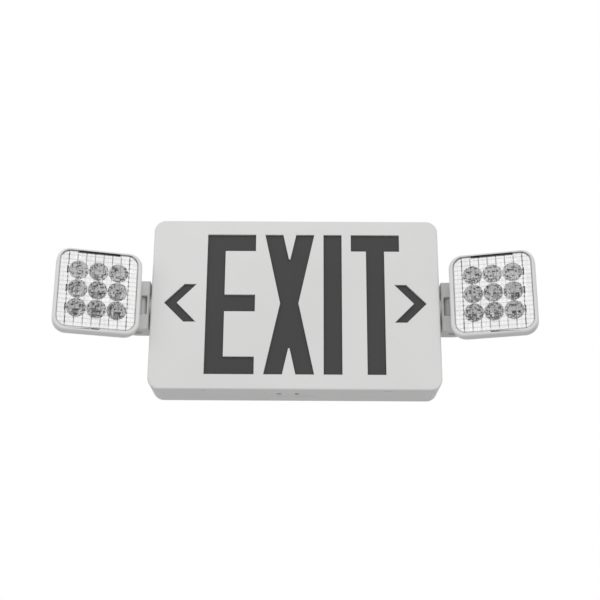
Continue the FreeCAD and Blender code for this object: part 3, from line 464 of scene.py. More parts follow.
class Effects:
    """The shader groups that several finishes share, each built once."""

    @staticmethod
    def begin(
        name: str, inputs: dict[str, float], outputs: Sequence[str]
    ) -> tuple[Wiring, Node, Node]:
        """Start a group with named number inputs and number outputs.

        Args:
            name: the group's name.
            inputs: input names and their usual values.
            outputs: output names.

        Returns:
            The group's wiring, its input node and its output node.
        """
        tree = bpy.data.node_groups.new(name, "ShaderNodeTree")
        for key, value in inputs.items():
            socket = tree.interface.new_socket(key, in_out="INPUT", socket_type="NodeSocketFloat")
            socket.default_value = value
        for key in outputs:
            tree.interface.new_socket(key, in_out="OUTPUT", socket_type="NodeSocketFloat")
        wiring = Wiring(tree)
        return wiring, wiring.add("NodeGroupInput"), wiring.add("NodeGroupOutput")

    @staticmethod
    @cache
    def grain() -> Tree:
        """Fine spark-eroded grain of a moulded face: a height and a roughness change."""
        w, into, out = Effects.begin(
            "Moulding grain", {"Scale": 2600.0, "Patches": 35.0}, ("Height", "Roughness")
        )
        where = w.where()
        fine = w.noise(into.outputs["Scale"], 2.0, where)
        patch = w.noise(into.outputs["Patches"], 3.0, where)
        w.feed(out, "Height", w.maths("MULTIPLY", fine, w.spread(patch, 0.3, 0.7, 0.6, 1.0)))
        w.feed(out, "Roughness", w.spread(patch, 0.3, 0.7, -0.5, 0.5))
        return w.tree

    @staticmethod
    @cache
    def marks() -> Tree:
        """Faint handling marks and drifting tone: two masks."""
        w, into, out = Effects.begin("Handling marks", {"Scale": 14.0}, ("Smudge", "Drift"))
        where = w.where()
        streaks = w.add("Mapping", {"Vector": where, "Scale": (1.0, 1.0, 2.4)}).outputs[0]
        smear = {"Vector": streaks, "Scale": into.outputs["Scale"], "Detail": 5.0, "Distortion": 0.6}
        wide = w.add("TexNoise", smear)
        w.feed(out, "Smudge", w.spread(wide.outputs[0], 0.52, 0.72, 0.0, 1.0))
        w.feed(out, "Drift", w.spread(w.noise(6.0, 2.0, where), 0.3, 0.7, 0.0, 1.0))
        return w.tree

    @staticmethod
    @cache
    def dust() -> Tree:
        """Dust that settles on faces that look up: a mask."""
        w, into, out = Effects.begin("Settled dust", {"Amount": 0.5}, ("Dust",))
        where = w.where()
        up = w.add("SeparateXYZ", {0: w.add("NewGeometry").outputs["Normal"]}).outputs[2]
        level = w.spread(up, 0.35, 0.95, 0.0, 1.0)
        cloud = w.spread(w.noise(160.0, 8.0, where, 0.7), 0.3, 0.75, 0.4, 1.0)
        w.feed(out, "Dust", w.maths("MULTIPLY", w.maths("MULTIPLY", level, cloud), into.outputs["Amount"]))
        return w.tree

    @staticmethod
    @cache
    def brushed() -> Tree:
        """Drawn or rolled metal: fine scratches and blotches."""
        inputs = {"Scale": 900.0, "Spangle": 160.0}
        w, into, out = Effects.begin("Metal surface", inputs, ("Scratch", "Spangle"))
        where = w.where()
        drawn = w.add("Mapping", {"Vector": where, "Scale": (1.0, 1.0, 0.08)}).outputs[0]
        crystals = w.add("TexVoronoi", {"Vector": where, "Scale": into.outputs["Spangle"]})
        w.feed(out, "Scratch", w.noise(into.outputs["Scale"], 3.0, drawn))
        w.feed(out, "Spangle", w.add("SeparateColor", {0: crystals.outputs["Color"]}).outputs[0])
        return w.tree


@dataclass(frozen=True)
class Finish:
    """A material and the values that are the same all over."""

    colour: Colour
    roughness: float = 0.5

    def start(self, name: str) -> tuple[Material, Wiring, Node]:
        """Make the material with its shader."""
        material = bpy.data.materials.new(name)
        material.use_nodes = True
        wiring = Wiring(material.node_tree)
        shader = wiring.find("BSDF_PRINCIPLED")
        wiring.feed(shader, "Base Color", rgba(self.colour))
        wiring.feed(shader, "Roughness", self.roughness)
        return material, wiring, shader

    def effect(self, wiring: Wiring, tree: Tree, **values: float) -> Node:
        """Place a shared group with this finish's values."""
        node = wiring.add("Group")
        node.node_tree = tree
        for key, value in values.items():
            node.inputs[key].default_value = value
        return node


@dataclass(frozen=True)
class MouldedPlastic(Finish):
    """Opaque moulded plastic with a fine grain, handling marks and settled dust."""

    tint: Colour = (0.0, 0.0, 0.0)
    tint_amount: float = 0.06
    grain: float = 2600.0
    bump: float = 0.00003
    dust: float = 0.12
    specular: float = 0.4

    def material(self, name: str) -> Material:
        """Build the finished material."""
        material, w, shader = self.start(name)
        w.feed(shader, "Specular IOR Level", self.specular)
        grain = self.effect(w, Effects.grain(), Scale=self.grain)
        marks = self.effect(w, Effects.marks())
        dust = self.effect(w, Effects.dust(), Amount=self.dust)
        drift = w.maths("MULTIPLY", marks.outputs["Drift"], self.tint_amount)
        toned = w.blend(drift, rgba(self.colour), rgba(self.tint))
        dusty = w.blend(dust.outputs["Dust"], toned, rgba((0.46, 0.44, 0.41)))
        w.feed(shader, "Base Color", dusty)
        rough = w.maths("MULTIPLY_ADD", grain.outputs["Roughness"], 0.08, self.roughness)
        rough = w.maths("MULTIPLY_ADD", marks.outputs["Smudge"], -0.07, rough)
        rough = w.maths("MULTIPLY_ADD", dust.outputs["Dust"], 0.3, rough, clamp=True)
        w.feed(shader, "Roughness", rough)
        w.bump(shader, 1.0, self.bump, grain.outputs["Height"])
        return material


@dataclass(frozen=True)
class PlatedMetal(Finish):
    """Zinc plate, sleeve metal or lamination stacks."""

    scratch: float = 900.0
    spangle: float = 160.0
    contrast: float = 0.25

    def material(self, name: str) -> Material:
        """Build the finished material."""
        material, w, shader = self.start(name)
        w.feed(shader, "Metallic", 1.0)
        surface = self.effect(w, Effects.brushed(), Scale=self.scratch, Spangle=self.spangle)
        darker = tuple(c * (1 - self.contrast) for c in self.colour)
        w.feed(shader, "Base Color", w.blend(surface.outputs["Spangle"], rgba(self.colour), rgba(darker)))
        rough = w.maths("MULTIPLY_ADD", surface.outputs["Scratch"], 0.3, self.roughness - 0.12)
        w.feed(shader, "Roughness", rough)
        w.bump(shader, 0.6, 0.00002, surface.outputs["Scratch"])
        return material


@dataclass(frozen=True)
class CircuitBoard(Finish):
    """Solder-masked board with tracks and tinned pads."""

    track: Colour = (0.06, 0.3, 0.1)
    pad: Colour = (0.62, 0.6, 0.55)
    pitch: float = 260.0

    def material(self, name: str) -> Material:
        """Build the finished material."""
        material, w, shader = self.start(name)
        w.feed(shader, "Coat Weight", 0.3)
        where = w.where()
        darker = rgba(tuple(c * 0.8 for c in self.colour))
        colours = {"Color1": rgba(self.colour), "Color2": darker, "Mortar": rgba(self.track)}
        sizes = {"Scale": self.pitch, "Mortar Size": 0.05}
        tracks = w.add("TexBrick", {"Vector": where, **colours, **sizes})
        spots = w.add("TexVoronoi", {"Vector": where, "Scale": self.pitch * 0.8})
        pads = w.maths("LESS_THAN", spots.outputs["Distance"], 0.16)
        w.feed(shader, "Base Color", w.blend(pads, tracks.outputs[0], rgba(self.pad)))
        w.feed(shader, "Metallic", w.maths("MULTIPLY", pads, 0.9))
        rough = w.spread(w.noise(300.0, 3.0, where), 0.3, 0.7, self.roughness - 0.06, self.roughness + 0.1)
        w.feed(shader, "Roughness", rough)
        w.bump(shader, 0.5, 0.00005, pads)
        return material


@dataclass(frozen=True)
class FacetedMirror(Finish):
    """Bright coat on small facets, with painted dark reflections on a share of them, more of them on facets
    that look up and low down.
    """

    cell: float = 0.0012
    # painted reflection: colour of the facets that stand in for dark reflections
    dark: Colour = (0.004, 0.004, 0.005)
    share: float = 0.34

    def material(self, name: str) -> Material:
        """Build the finished material."""
        material, w, shader = self.start(name)
        w.feed(shader, "Metallic", 0.2)
        w.feed(shader, "Specular IOR Level", 0.2)
        where = w.where()
        cells = w.add("TexVoronoi", {"Vector": where, "Scale": 1 / self.cell, "Randomness": 0.85})
        chance = w.add("SeparateColor", {0: cells.outputs["Color"]})
        upward = w.add("SeparateXYZ", {0: w.add("NewGeometry").outputs["Normal"]}).outputs[2]
        height = w.add("SeparateXYZ", {0: where}).outputs[2]
        painted_dark_facing = w.spread(upward, -0.6, 0.7, -0.05, 0.16)
        painted_dark_bias = w.maths("ADD", painted_dark_facing, w.spread(height, -0.03, 0.035, 0.08, -0.05))
        painted_dark_cells = w.maths("LESS_THAN", chance.outputs[0], w.maths("ADD", painted_dark_bias, self.share))
        painted_reflection = w.maths("MULTIPLY", painted_dark_cells, w.spread(chance.outputs[1], 0.0, 0.6, 0.7, 1.0))
        # painted reflection: a share of the cells turns dark, more on facets that look up and low in the cup
        w.feed(shader, "Base Color", w.blend(painted_reflection, rgba(self.colour), rgba(self.dark)))
        rough = w.spread(chance.outputs[2], 0.0, 1.0, self.roughness, self.roughness + 0.14)
        w.feed(shader, "Roughness", rough)
        w.bump(shader, 0.5, 0.0002, chance.outputs[2])
        return material


@dataclass(frozen=True)
class ClearPlastic(Finish):
    """Clear moulded plastic that shows what is behind it and lets the light through, with painted shade lines
    along its grooves and round its edge.
    """

    index: float = 1.49
    clearness: float = 0.93
    # painted shade: colour of the dark lines along the grooves and round the edge
    seam: Colour = grey(0.1)
    size: Point = (78.6, 80.6)
    flutes: int = 9
    rows: int = 17
    corner: float = 10.5
    side_band: tuple[float, ...] = (26.0, 28.0, 33.0, 35.0)
    end_band: tuple[float, ...] = (26.0, 30.0, 36.0, 39.0)
    plain_strength: float = 0.2
    end_strength: float = 0.5
    grid_strength: float = 0.08
    painted_edge_strength: float = 0.6

    @staticmethod
    def line(w: Wiring, value: object, pitch: float, full: float, gone: float, rest: float = 0.0) -> Socket:
        """A line at each step of a pitch: one at its middle, and the rest value outside it."""
        return w.spread(w.maths("PINGPONG", value, pitch / 2), full, gone, 1.0, rest)

    @staticmethod
    def band(w: Wiring, value: object, ends: Sequence[float]) -> Socket:
        """A mask that rises between the first two ends and falls between the last two."""
        rise = w.spread(value, ends[0], ends[1], 0.0, 1.0)
        return w.maths("MULTIPLY", rise, w.spread(value, ends[2], ends[3], 1.0, 0.0))

    def seams(self, w: Wiring) -> Socket:
        """Painted shade along the grooves between the flutes and rows, stronger in dotted columns near the
        sides, near the top and bottom, and round the edge, from the map in millimetres.

        Args:
            w: the material's wiring.

        Returns:
            A mask of the painted shade.
        """
        across, up, _ = w.add("SeparateXYZ", {0: w.add("TexCoord").outputs["UV"]}).outputs
        flute_pitch, row_pitch = self.size[0] / self.flutes, self.size[1] / self.rows
        off, beyond = [], []
        for value, length in zip((across, up), self.size):
            off.append(w.maths("ABSOLUTE", w.maths("SUBTRACT", value, length / 2)))
            past = w.maths("SUBTRACT", off[-1], length / 2 - self.corner)
            beyond.append(w.maths("MAXIMUM", past, 0.0))
        painted_grid = w.maths(
            "MAXIMUM", self.line(w, across, flute_pitch / 2, 0.1, 0.4), self.line(w, up, row_pitch, 0.1, 0.5)
        )
        dots = self.line(w, up, row_pitch, 0.6, 1.6, 0.25)
        painted_side_dots = w.maths("MULTIPLY", self.band(w, off[0], self.side_band), dots)
        strength = w.maths("ADD", painted_side_dots, self.plain_strength)
        strength = w.maths("MULTIPLY_ADD", self.band(w, off[1], self.end_band), self.end_strength, strength)
        flutes = w.maths("MULTIPLY", self.line(w, across, flute_pitch, 0.15, 0.7), strength)
        painted_shade_lines = w.maths("MAXIMUM", flutes, w.maths("MULTIPLY", painted_grid, self.grid_strength))
        square = w.maths("MULTIPLY_ADD", beyond[1], beyond[1], w.maths("MULTIPLY", beyond[0], beyond[0]))
        radius = w.maths("SQRT", square)
        edge = w.spread(radius, self.corner - 1.1, self.corner - 0.4, 0.0, self.painted_edge_strength)
        return w.maths("MAXIMUM", painted_shade_lines, edge, clamp=True)

    def material(self, name: str) -> Material:
        """Build the finished material."""
        material, w, shader = self.start(name)
        w.feed(shader, "Transmission Weight", 1.0)
        w.feed(shader, "Specular IOR Level", 0.15)
        w.feed(shader, "IOR", self.index)
        where = w.where()
        haze = w.spread(w.noise(60.0, 4.0, where), 0.35, 0.75, self.roughness, self.roughness + 0.03)
        w.feed(shader, "Roughness", haze)
        # painted shade: the base colour turns dark along the grooves and round the edge
        w.feed(shader, "Base Color", w.blend(self.seams(w), rgba(self.colour), rgba(self.seam)))
        path = w.add("LightPath")
        through = w.maths("MAXIMUM", path.outputs["Is Shadow Ray"], path.outputs["Is Diffuse Ray"])
        clear = w.add("BsdfTransparent", {"Color": rgba(grey(self.clearness))})
        mixed = w.add("MixShader", {0: through, 1: shader.outputs[0], 2: clear.outputs[0]})
        w.feed(w.find("OUTPUT_MATERIAL"), "Surface", mixed.outputs[0])
        return material


# --- Studio ---


@dataclass
class Studio:
    """Camera, soft lights, pale floor and white room."""

    eye: tuple[float, float, float] = (0.00757, -1.1062, -0.3516)
    rise: float = 0.3216
    pan: float = -0.0067
    roll: float = 0.0072
    lens: float = 64.41
    shift: Point = (0.00708, 0.00512)
    room_light: float = 0.46
    key_power: float = 29.0
    key_place: tuple[float, float, float] = (0.6, -2.3, 1.3)
    key_size: float = 2.2
    fill_place: tuple[float, float, float] = (-1.9, -1.8, 0.5)
    fill_size: float = 1.6
    fill_share: float = 0.35
    floor_level: float = -1.3
    floor_size: float = 40.0
    floor_tone: Colour = grey(0.82)

    def camera(self) -> None:
        """Stand the camera below the sign, looking up at it."""
        deselect_everything()
        bpy.ops.object.camera_add()
        camera = bpy.context.object
        camera.name = "camera"
        ahead = Vector((
            math.sin(self.pan) * math.cos(self.rise),
            math.cos(self.pan) * math.cos(self.rise),
            math.sin(self.rise),
        ))
        level = Vector((math.cos(self.pan), -math.sin(self.pan), 0))
        upright = level.cross(ahead)
        right = math.cos(self.roll) * level + math.sin(self.roll) * upright
        up = math.cos(self.roll) * upright - math.sin(self.roll) * level
        turn = Matrix((right, up, -ahead)).transposed().to_4x4()
        camera.matrix_world = Matrix.Translation(self.eye) @ turn
        camera.data.lens = self.lens
        camera.data.sensor_width = 36
        camera.data.shift_x, camera.data.shift_y = self.shift
        camera.data.clip_start, camera.data.clip_end = 0.01, 50
        bpy.context.scene.camera = camera

    def world(self) -> None:
        """Light the room evenly, and show white to the eye, to metal and to glass."""
        world = bpy.data.worlds.new("room")
        bpy.context.scene.world = world
        world.use_nodes = True
        w = Wiring(world.node_tree)
        backdrop = w.find("BACKGROUND")
        path = w.add("LightPath")
        seen = w.maths("MAXIMUM", path.outputs["Is Camera Ray"], path.outputs["Is Glossy Ray"])
        seen = w.maths("MAXIMUM", seen, path.outputs["Is Transmission Ray"])
        backdrop.inputs["Color"].default_value = (1, 1, 1, 1)
        w.feed(backdrop, "Strength", w.spread(seen, 0.0, 1.0, self.room_light, 1.0))

    def lamp(self, name: str, place: Sequence[float], size: float, power: float) -> None:
        """Hang one square soft light that points at the sign.

        Args:
            name: the light's name.
            place: where it hangs, in metres.
            size: its side in metres.
            power: its power in watts.
        """
        deselect_everything()
        bpy.ops.object.light_add(type="AREA", location=place)
        light = bpy.context.object
        light.name = name
        light.data.size = size
        light.data.energy = power
        light.visible_glossy = light.visible_transmission = False
        light.rotation_euler = (-Vector(place)).to_track_quat("-Z", "Y").to_euler()

    def floor(self) -> None:
        """Lay the floor under the sign."""
        deselect_everything()
        bpy.ops.mesh.primitive_plane_add(size=self.floor_size, location=(0, 0, self.floor_level))
        floor = Workpiece("floor")
        floor.settle()
        material, w, shader = Finish(self.floor_tone, 0.8).start("pale floor")
        w.feed(shader, "Roughness", w.spread(w.noise(3.0, 3.0, w.where()), 0.3, 0.7, 0.75, 0.9))
        dress(floor.item, material)

    def make(self) -> None:
        """Set up the whole studio."""
        self.camera()
        self.world()
        self.floor()
        self.lamp("key", self.key_place, self.key_size, self.key_power)
        self.lamp("fill", self.fill_place, self.fill_size, self.key_power * self.fill_share)
        bpy.context.scene.view_settings.view_transform = "Standard"
        LOG.info("studio ready")


# --- The sign ---


@dataclass
class StencilCover:
    """Snap-on cover, with the legend and two arrows cut through its face."""

    width: float = 299.5
    height: float = 184.0
    front: float = 50.8
    reach: float = 6.0
    face: float = 2.6
    wall: float = 2.5
    corner: float = 12.0
    edge_round: float = 1.8
    legend_shift: float = 0.496
    letter_half: float = 76.2
    stroke: float = 19.05
    letter_width: float = 50.8
    bar: float = 18.6
    e_left: float = -93.18
    e_half_bar: float = 9.15
    x_middle: float = -6.76
    x_half: float = 25.9
    x_waist: float = 9.49
    x_notch: float = 48.6
    x_notch_half: float = 0.75
    i_left: float = 28.86
    t_left: float = 57.66
    t_stem: float = 15.82
    arrow_tip: float = 136.2
    arrow_run: float = 20.7
    arrow_half: float = 20.6
    arrow_thick: float = 13.2
    arrow_end: float = 12.7
    notch_place: float = 95.0
    notch_width: float = 9.0
    notch_deep: float = 1.2
    notch_high: float = 1.6
    past: float = 2.0
    edge_break: float = 0.22

    def letter_e(self) -> list[Point]:
        """Outline of the E."""
        left, top, half_bar = self.e_left + self.legend_shift, self.letter_half, self.e_half_bar
        stem, right = left + self.stroke, left + self.letter_width
        inner = top - self.bar
        upper = [
            (right, half_bar), (stem, half_bar), (stem, inner), (right, inner), (right, top), (left, top)
        ]
        return [(x, -z) for x, z in upper[::-1]] + upper

    def letter_x(self) -> list[Point]:
        """Outline of the X, with its narrow notches cut short at their tips."""
        middle, top, half = self.x_middle + self.legend_shift, self.letter_half, self.x_half
        tip, tip_half, limb = self.x_notch, self.x_notch_half, half - self.stroke
        low = [(-half, -top), (-limb, -top), (-tip_half, -tip), (tip_half, -tip), (limb, -top), (half, -top)]
        turned = low + [(self.x_waist, 0)] + [(-x, -z) for x, z in low] + [(-self.x_waist, 0)]
        return [(middle + x, z) for x, z in turned]

    def letter_i(self) -> list[Point]:
        """Outline of the I."""
        left, top = self.i_left + self.legend_shift, self.letter_half
        right = left + self.stroke
        return [(left, -top), (right, -top), (right, top), (left, top)]

    def letter_t(self) -> list[Point]:
        """Outline of the T."""
        left, top = self.t_left + self.legend_shift, self.letter_half
        right, stem, under = left + self.letter_width, left + self.t_stem, top - self.bar
        return [
            (stem, -top), (stem + self.stroke, -top), (stem + self.stroke, under), (right, under),
            (right, top), (left, top), (left, under), (stem, under),
        ]

    def arrow(self, side: Side) -> list[Point]:
        """Outline of the arrow on one side."""
        arm, half = self.arrow_tip - self.arrow_run, self.arrow_half
        end = arm - self.arrow_end
        corners = [
            (self.arrow_tip, 0), (arm, half), (end, half),
            (self.arrow_tip - self.arrow_thick, 0), (end, -half), (arm, -half),
        ]
        corners = [(side.value * x, z) for x, z in corners]
        return corners if side is Side.RIGHT else corners[::-1]

    def shell(self) -> Workpiece:
        """The hollow cover before its openings.

        Returns:
            The cover's shell.
        """
        seam = self.reach - self.front
        half_w, half_h = self.width / 2, self.height / 2
        shell = Workpiece.block("stencil_cover", (-half_w, -self.front, -half_h), (half_w, seam, half_h))
        with shell.editing():
            shell.pick_corners()
            shell.bevel(self.corner, 14)
            shell.pick(Part.FACE, lambda f: f.normal.y > 0.9)
            shell.inset(self.wall)
            shell.extrude((0, -(self.reach - self.face), 0))
            shell.pick_level(-self.front)
            shell.bevel(self.edge_round, 6)
        return shell

    def make(self, material: Material) -> None:
        """Model the cover and dress it.

        Args:
            material: the cover's finish.
        """
        cover = self.shell()
        outlines = [
            self.letter_e(), self.letter_x(), self.letter_i(), self.letter_t(),
            self.arrow(Side.LEFT), self.arrow(Side.RIGHT),
        ]
        start, reach = -self.front - self.past, self.face + 2 * self.past
        for corners in outlines:
            cover.carve(Workpiece.outline("opening", corners, start, reach))
        seam, low_edge = self.reach - self.front, -self.height / 2
        for side in Side:
            middle = side.value * self.notch_place
            low = (middle - self.notch_width / 2, seam - self.notch_high, low_edge - self.past)
            high = (middle + self.notch_width / 2, seam + self.past, low_edge + self.notch_deep)
            cover.carve(Workpiece.block("notch", low, high))
        cover.soften(self.edge_break)
        cover.smooth()
        cover.close(material, "cover_white", "housing", ("front_cover",))


@dataclass
class LampHeads:
    """Head shell, prismatic lens, reflector and a dark strip of painted shadow behind the lens's slots, drawn
    once and placed on both sides.

    The pieces are drawn about the pivot of the right head, before its turn inwards.
    """

    pivot: float = 165.35
    back: float = 29.8
    yaw: float = 16.0
    head_middle: float = 46.64
    head_rise: float = 2.0
    head_width: float = 86.8
    head_height: float = 87.2
    head_corner: float = 14.0
    head_front: float = -40.2
    head_back: float = -2.0
    shoulder: float = -25.2
    back_size: float = 62.0
    rim_round: float = 2.0
    shoulder_round: float = 5.0
    back_round: float = 6.0
    tongue_radius: float = 10.0
    tongue_half: float = 10.0
    middle: float = 47.2
    rise: float = 2.85
    lens_gap: float = 0.45
    lens_width: float = 78.6
    lens_height: float = 80.6
    lens_corner: float = 10.5
    lens_front: float = -39.9
    lens_back: float = -38.2
    lens_round: float = 0.7
    flutes: int = 9
    rows: int = 17
    flute_fall: float = 0.45
    slot_length: float = 20.0
    slot_high: float = 1.5
    slot_bridge: float = 1.6
    notch: float = 8.5
    lens_notch: float = 0.7
    pry_depth: float = 1.2
    pillow_base: float = 0.55
    pillow_steps: tuple[Point, ...] = ((0.35, 0.2), (0.45, 0.14), (0.55, 0.07))
    sheet_past: float = 2.0
    gasket_drop: float = 0.3
    past: float = 1.0
    room_margin: float = 6.2
    room_past: float = 2.0
    neck_ends: tuple[float, ...] = (1.0, 14.0, 4.0, 16.0, 2.0)
    head_break: float = 0.35
    gasket_break: float = 0.1
    cup_wall: float = 0.5
    cup_pitch: float = 20.0
    cup_sides: int = 20
    cup_rings: tuple[Point, ...] = (
        (9.95, 0.0), (9.3, 1.6), (8.4, 3.3), (7.4, 5.1), (6.2, 7.0), (4.8, 8.8), (3.3, 10.1), (2.0, 10.6)
    )
    plate_wall: float = 1.2
    bar_place: float = 31.4
    bar_size: Point = (0.9, 8.0)

    def place(self, side: Side) -> Matrix:
        """Where a piece of one side goes."""
        turn = Matrix.Rotation(-side.value * math.radians(self.yaw), 4, "Z")
        return shift(side.value * self.pivot, -self.back, 0) @ turn @ Matrix.Diagonal((side.value, 1, 1, 1))

    def box(self, name: str, x: Point, y: Point, z: Point) -> Workpiece:
        """Add a block by its spans, with x and z from the head's middle."""
        low = (self.middle + x[0], y[0], self.rise + z[0])
        high = (self.middle + x[1], y[1], self.rise + z[1])
        return Workpiece.block(name, low, high)

    def shell(self) -> Workpiece:
        """The moulded body: a soft rim, a tapered back and the tongue at the pivot.

        Returns:
            The hollow body.
        """
        half_w, half_h = self.head_width / 2, self.head_height / 2
        low = (self.head_middle - half_w, self.head_front, self.head_rise - half_h)
        high = (self.head_middle + half_w, self.head_back, self.head_rise + half_h)
        shell = Workpiece.block("head_shell", low, high)
        with shell.editing():
            shell.pick_corners()
            shell.bevel(self.head_corner, 12)
            select_whole()
            bpy.ops.mesh.bisect(plane_co=(0, self.shoulder * MM, 0), plane_no=(0, 1, 0))
            shell.pick(Part.VERTEX, lambda v: abs(v.co.y - self.head_back * MM) < NEAR)
            bpy.ops.transform.resize(
                value=(self.back_size / self.head_width, 1, self.back_size / self.head_height),
                center_override=(self.head_middle * MM, self.head_back * MM, self.head_rise * MM),
            )
            for level, width in (
                (self.head_front, self.rim_round),
                (self.shoulder, self.shoulder_round),
                (self.head_back, self.back_round),
            ):
                shell.pick_level(level)
                shell.bevel(width, 5)
        shell.carve(self.neck(), "UNION")
        window_front, window_back = self.head_front - self.past, self.lens_back + self.plate_wall
        shell.carve(self.slab("window", -self.lens_gap, window_front, window_back))
        room_front, room_back = self.lens_back - self.past, self.shoulder + self.room_past
        shell.carve(self.slab("room", self.room_margin, room_front, room_back))
        half_notch, low_edge = self.notch / 2, -self.lens_height / 2 - self.lens_gap
        heights = (low_edge - self.pry_depth, low_edge + self.past)
        shell.carve(self.box("pry notch", (-half_notch, half_notch), (window_front, self.lens_back), heights))
        shell.soften(self.head_break, 3, 60)
        return shell

    def neck(self) -> Workpiece:
        """The tongue round the pivot and the neck that joins it to the body.

        Returns:
            The solid that the body is joined with.
        """
        radius, half = self.tongue_radius, self.tongue_half
        neck = Workpiece.tube("tongue", radius, 2 * half, 48)
        inner = self.head_middle - self.head_width / 2
        near, far, deeper, short, under = self.neck_ends
        corners = [
            (-radius / 4, -radius * 0.96), (inner + near, self.shoulder),
            (inner + far, self.shoulder + deeper), (self.head_middle - short, self.head_back - under),
            (radius / 2, radius * 0.86),
        ]
        bridge = Workpiece.outline("bridge", corners, 0, 2 * half)
        lay_flat = Matrix(((1, 0, 0, 0), (0, 0, 1, 0), (0, 1, 0, 0), (0, 0, 0, 1)))
        bridge.move(Matrix.Translation((0, 0, -half * MM)) @ lay_flat)
        bridge.close_normals()
        neck.carve(bridge, "UNION")
        return neck

    def slab(self, name: str, margin: float, front: float, back: float) -> Workpiece:
        """A plate of the lens's outline.

        Args:
            name: the plate's name.
            margin: how far it stays inside the lens's edge.
            front: Y of its front.
            back: Y of its back.

        Returns:
            The plate with round corners.
        """
        half_w, half_h = self.lens_width / 2 - margin, self.lens_height / 2 - margin
        slab = self.box(name, (-half_w, half_w), (front, back), (-half_h, half_h))
        with slab.editing():
            slab.pick_corners()
            slab.bevel(self.lens_corner - margin, 12)
        return slab

    def pillows(self) -> Workpiece:
        """The lens's inner face: upright flutes, each with two columns of small pillows.

        Returns:
            A solid with that face, larger than the lens in front.
        """
        flute, row = self.lens_width / self.flutes, self.lens_height / self.rows
        left, low = self.middle - self.lens_width / 2, self.rise - self.lens_height / 2
        top, front = self.lens_back - self.pillow_base, self.lens_front - self.sheet_past
        sheet = Workpiece.block("lens", (left, front, low), (left + flute, top, low + row))
        centre = (left + flute / 2) * MM
        with sheet.editing():
            select_whole()
            bpy.ops.mesh.bisect(plane_co=(centre, 0, 0), plane_no=(1, 0, 0))
            sheet.pick(Part.FACE, lambda f: f.normal.y < 0.5)
            bpy.ops.mesh.delete(type="FACE")
            sheet.pick(Part.VERTEX, lambda v: abs(v.co.x - centre) > NEAR)
            bpy.ops.transform.translate(value=(0, -self.flute_fall * MM, 0))
            bpy.ops.mesh.select_mode(type="FACE")
            select_whole()
            for margin, rise in self.pillow_steps:
                bpy.ops.mesh.inset(thickness=margin * MM, depth=rise * MM, use_individual=True)
        for offset, count in (((flute * MM, 0, 0), self.flutes), ((0, 0, row * MM), self.rows)):
            sheet.modify(
                "ARRAY", count=count, use_relative_offset=False, use_constant_offset=True,
                constant_offset_displace=offset, use_merge_vertices=True, merge_threshold=NEAR,
            )
        with sheet.editing():
            sheet.pick(Part.EDGE, lambda e: e.is_boundary)
            sheet.extrude((0, -4, 0))
            bpy.ops.transform.resize(value=(1, 0, 1), center_override=(0, front * MM, 0))
            bpy.ops.mesh.edge_face_add()
        sheet.close_normals()
        return sheet

    def lens(self) -> Workpiece:
        """The clear lens with its snap slots.

        Returns:
            The lens.
        """
        lens = self.pillows()
        blank = self.slab("blank", 0, self.lens_front, self.lens_back)
        with blank.editing():
            blank.pick_level(self.lens_front)
            blank.bevel(self.lens_round, 4)
        lens.carve(blank, "INTERSECT")
        top, through = self.lens_height / 2, (self.lens_front - self.past, self.lens_back + self.past)
        half_bridge = self.slot_bridge / 2
        for near in (-half_bridge - self.slot_length, half_bridge):
            span = (near, near + self.slot_length)
            lens.carve(self.box("slot", span, through, (top - self.slot_high, top + self.past)))
        half_notch, heights = self.notch / 2, (-top - self.past, -top + self.lens_notch)
        lens.carve(self.box("notch", (-half_notch, half_notch), through, heights))
        lens.map_front(self.middle - self.lens_width / 2, self.rise - top)
        return lens

    def cup(self) -> Workpiece:
        """One reflector cup at the head's middle, with flat facets turned ring by ring.

        Returns:
            The cup.
        """
        deselect_everything()
        bpy.ops.mesh.primitive_circle_add(
            vertices=self.cup_sides, radius=self.cup_rings[0][0] * MM, rotation=(math.pi / 2, 0, 0)
        )
        cup = Workpiece("cup")
        cup.settle()
        step = math.pi / self.cup_sides
        with cup.editing():
            select_whole()
            for (radius, depth), (next_radius, next_depth) in zip(self.cup_rings, self.cup_rings[1:]):
                cup.extrude((0, next_depth - depth, 0))
                scale = next_radius / radius
                bpy.ops.transform.resize(value=(scale, 1, scale), center_override=(0, 0, 0))
                bpy.ops.transform.rotate(value=step, orient_axis="Y", center_override=(0, 0, 0))
            select_whole()
            bpy.ops.mesh.quads_convert_to_tris()
            bpy.ops.mesh.normals_make_consistent(inside=True)
        cup.modify("SOLIDIFY", thickness=self.cup_wall * MM, offset=-1)
        cup.move(shift(self.middle, self.lens_back, self.rise))
        return cup

    def reflector(self) -> tuple[Workpiece, Workpiece]:
        """White plate with a short upright slot beside each row, and nine bright cups.

        Returns:
            The plate and the cups.
        """
        plate_back, across = self.lens_back + self.plate_wall, (math.pi / 2, 0, 0)
        plate = self.slab("reflector_plate", 0.4, self.lens_back, plate_back)
        places = [(i * self.cup_pitch, k * self.cup_pitch) for k in (-1, 0, 1) for i in (-1, 0, 1)]
        mouth, middle_y = self.cup_rings[0][0], self.lens_back + self.plate_wall / 2
        cup = self.cup()
        cups = []
        for x, z in places:
            hole = Workpiece.tube("hole", mouth, self.plate_wall + 2 * self.past, self.cup_sides, across)
            hole.move(shift(self.middle + x, middle_y, self.rise + z))
            plate.carve(hole)
            cups.append(cup.duplicate("cup", shift(x, 0, z)))
        cup.discard()
        half_w, half_h = self.bar_size[0] / 2, self.bar_size[1] / 2
        span = (self.bar_place - half_w, self.bar_place + half_w)
        through = (self.lens_back - self.past, plate_back + self.past)
        for row in (-1, 0, 1):
            middle = row * self.cup_pitch
            plate.carve(self.box("bar", span, through, (middle - half_h, middle + half_h)))
        bright = cups[0]
        bright.join(cups[1:])
        bright.item.name = "reflector"
        return plate, bright

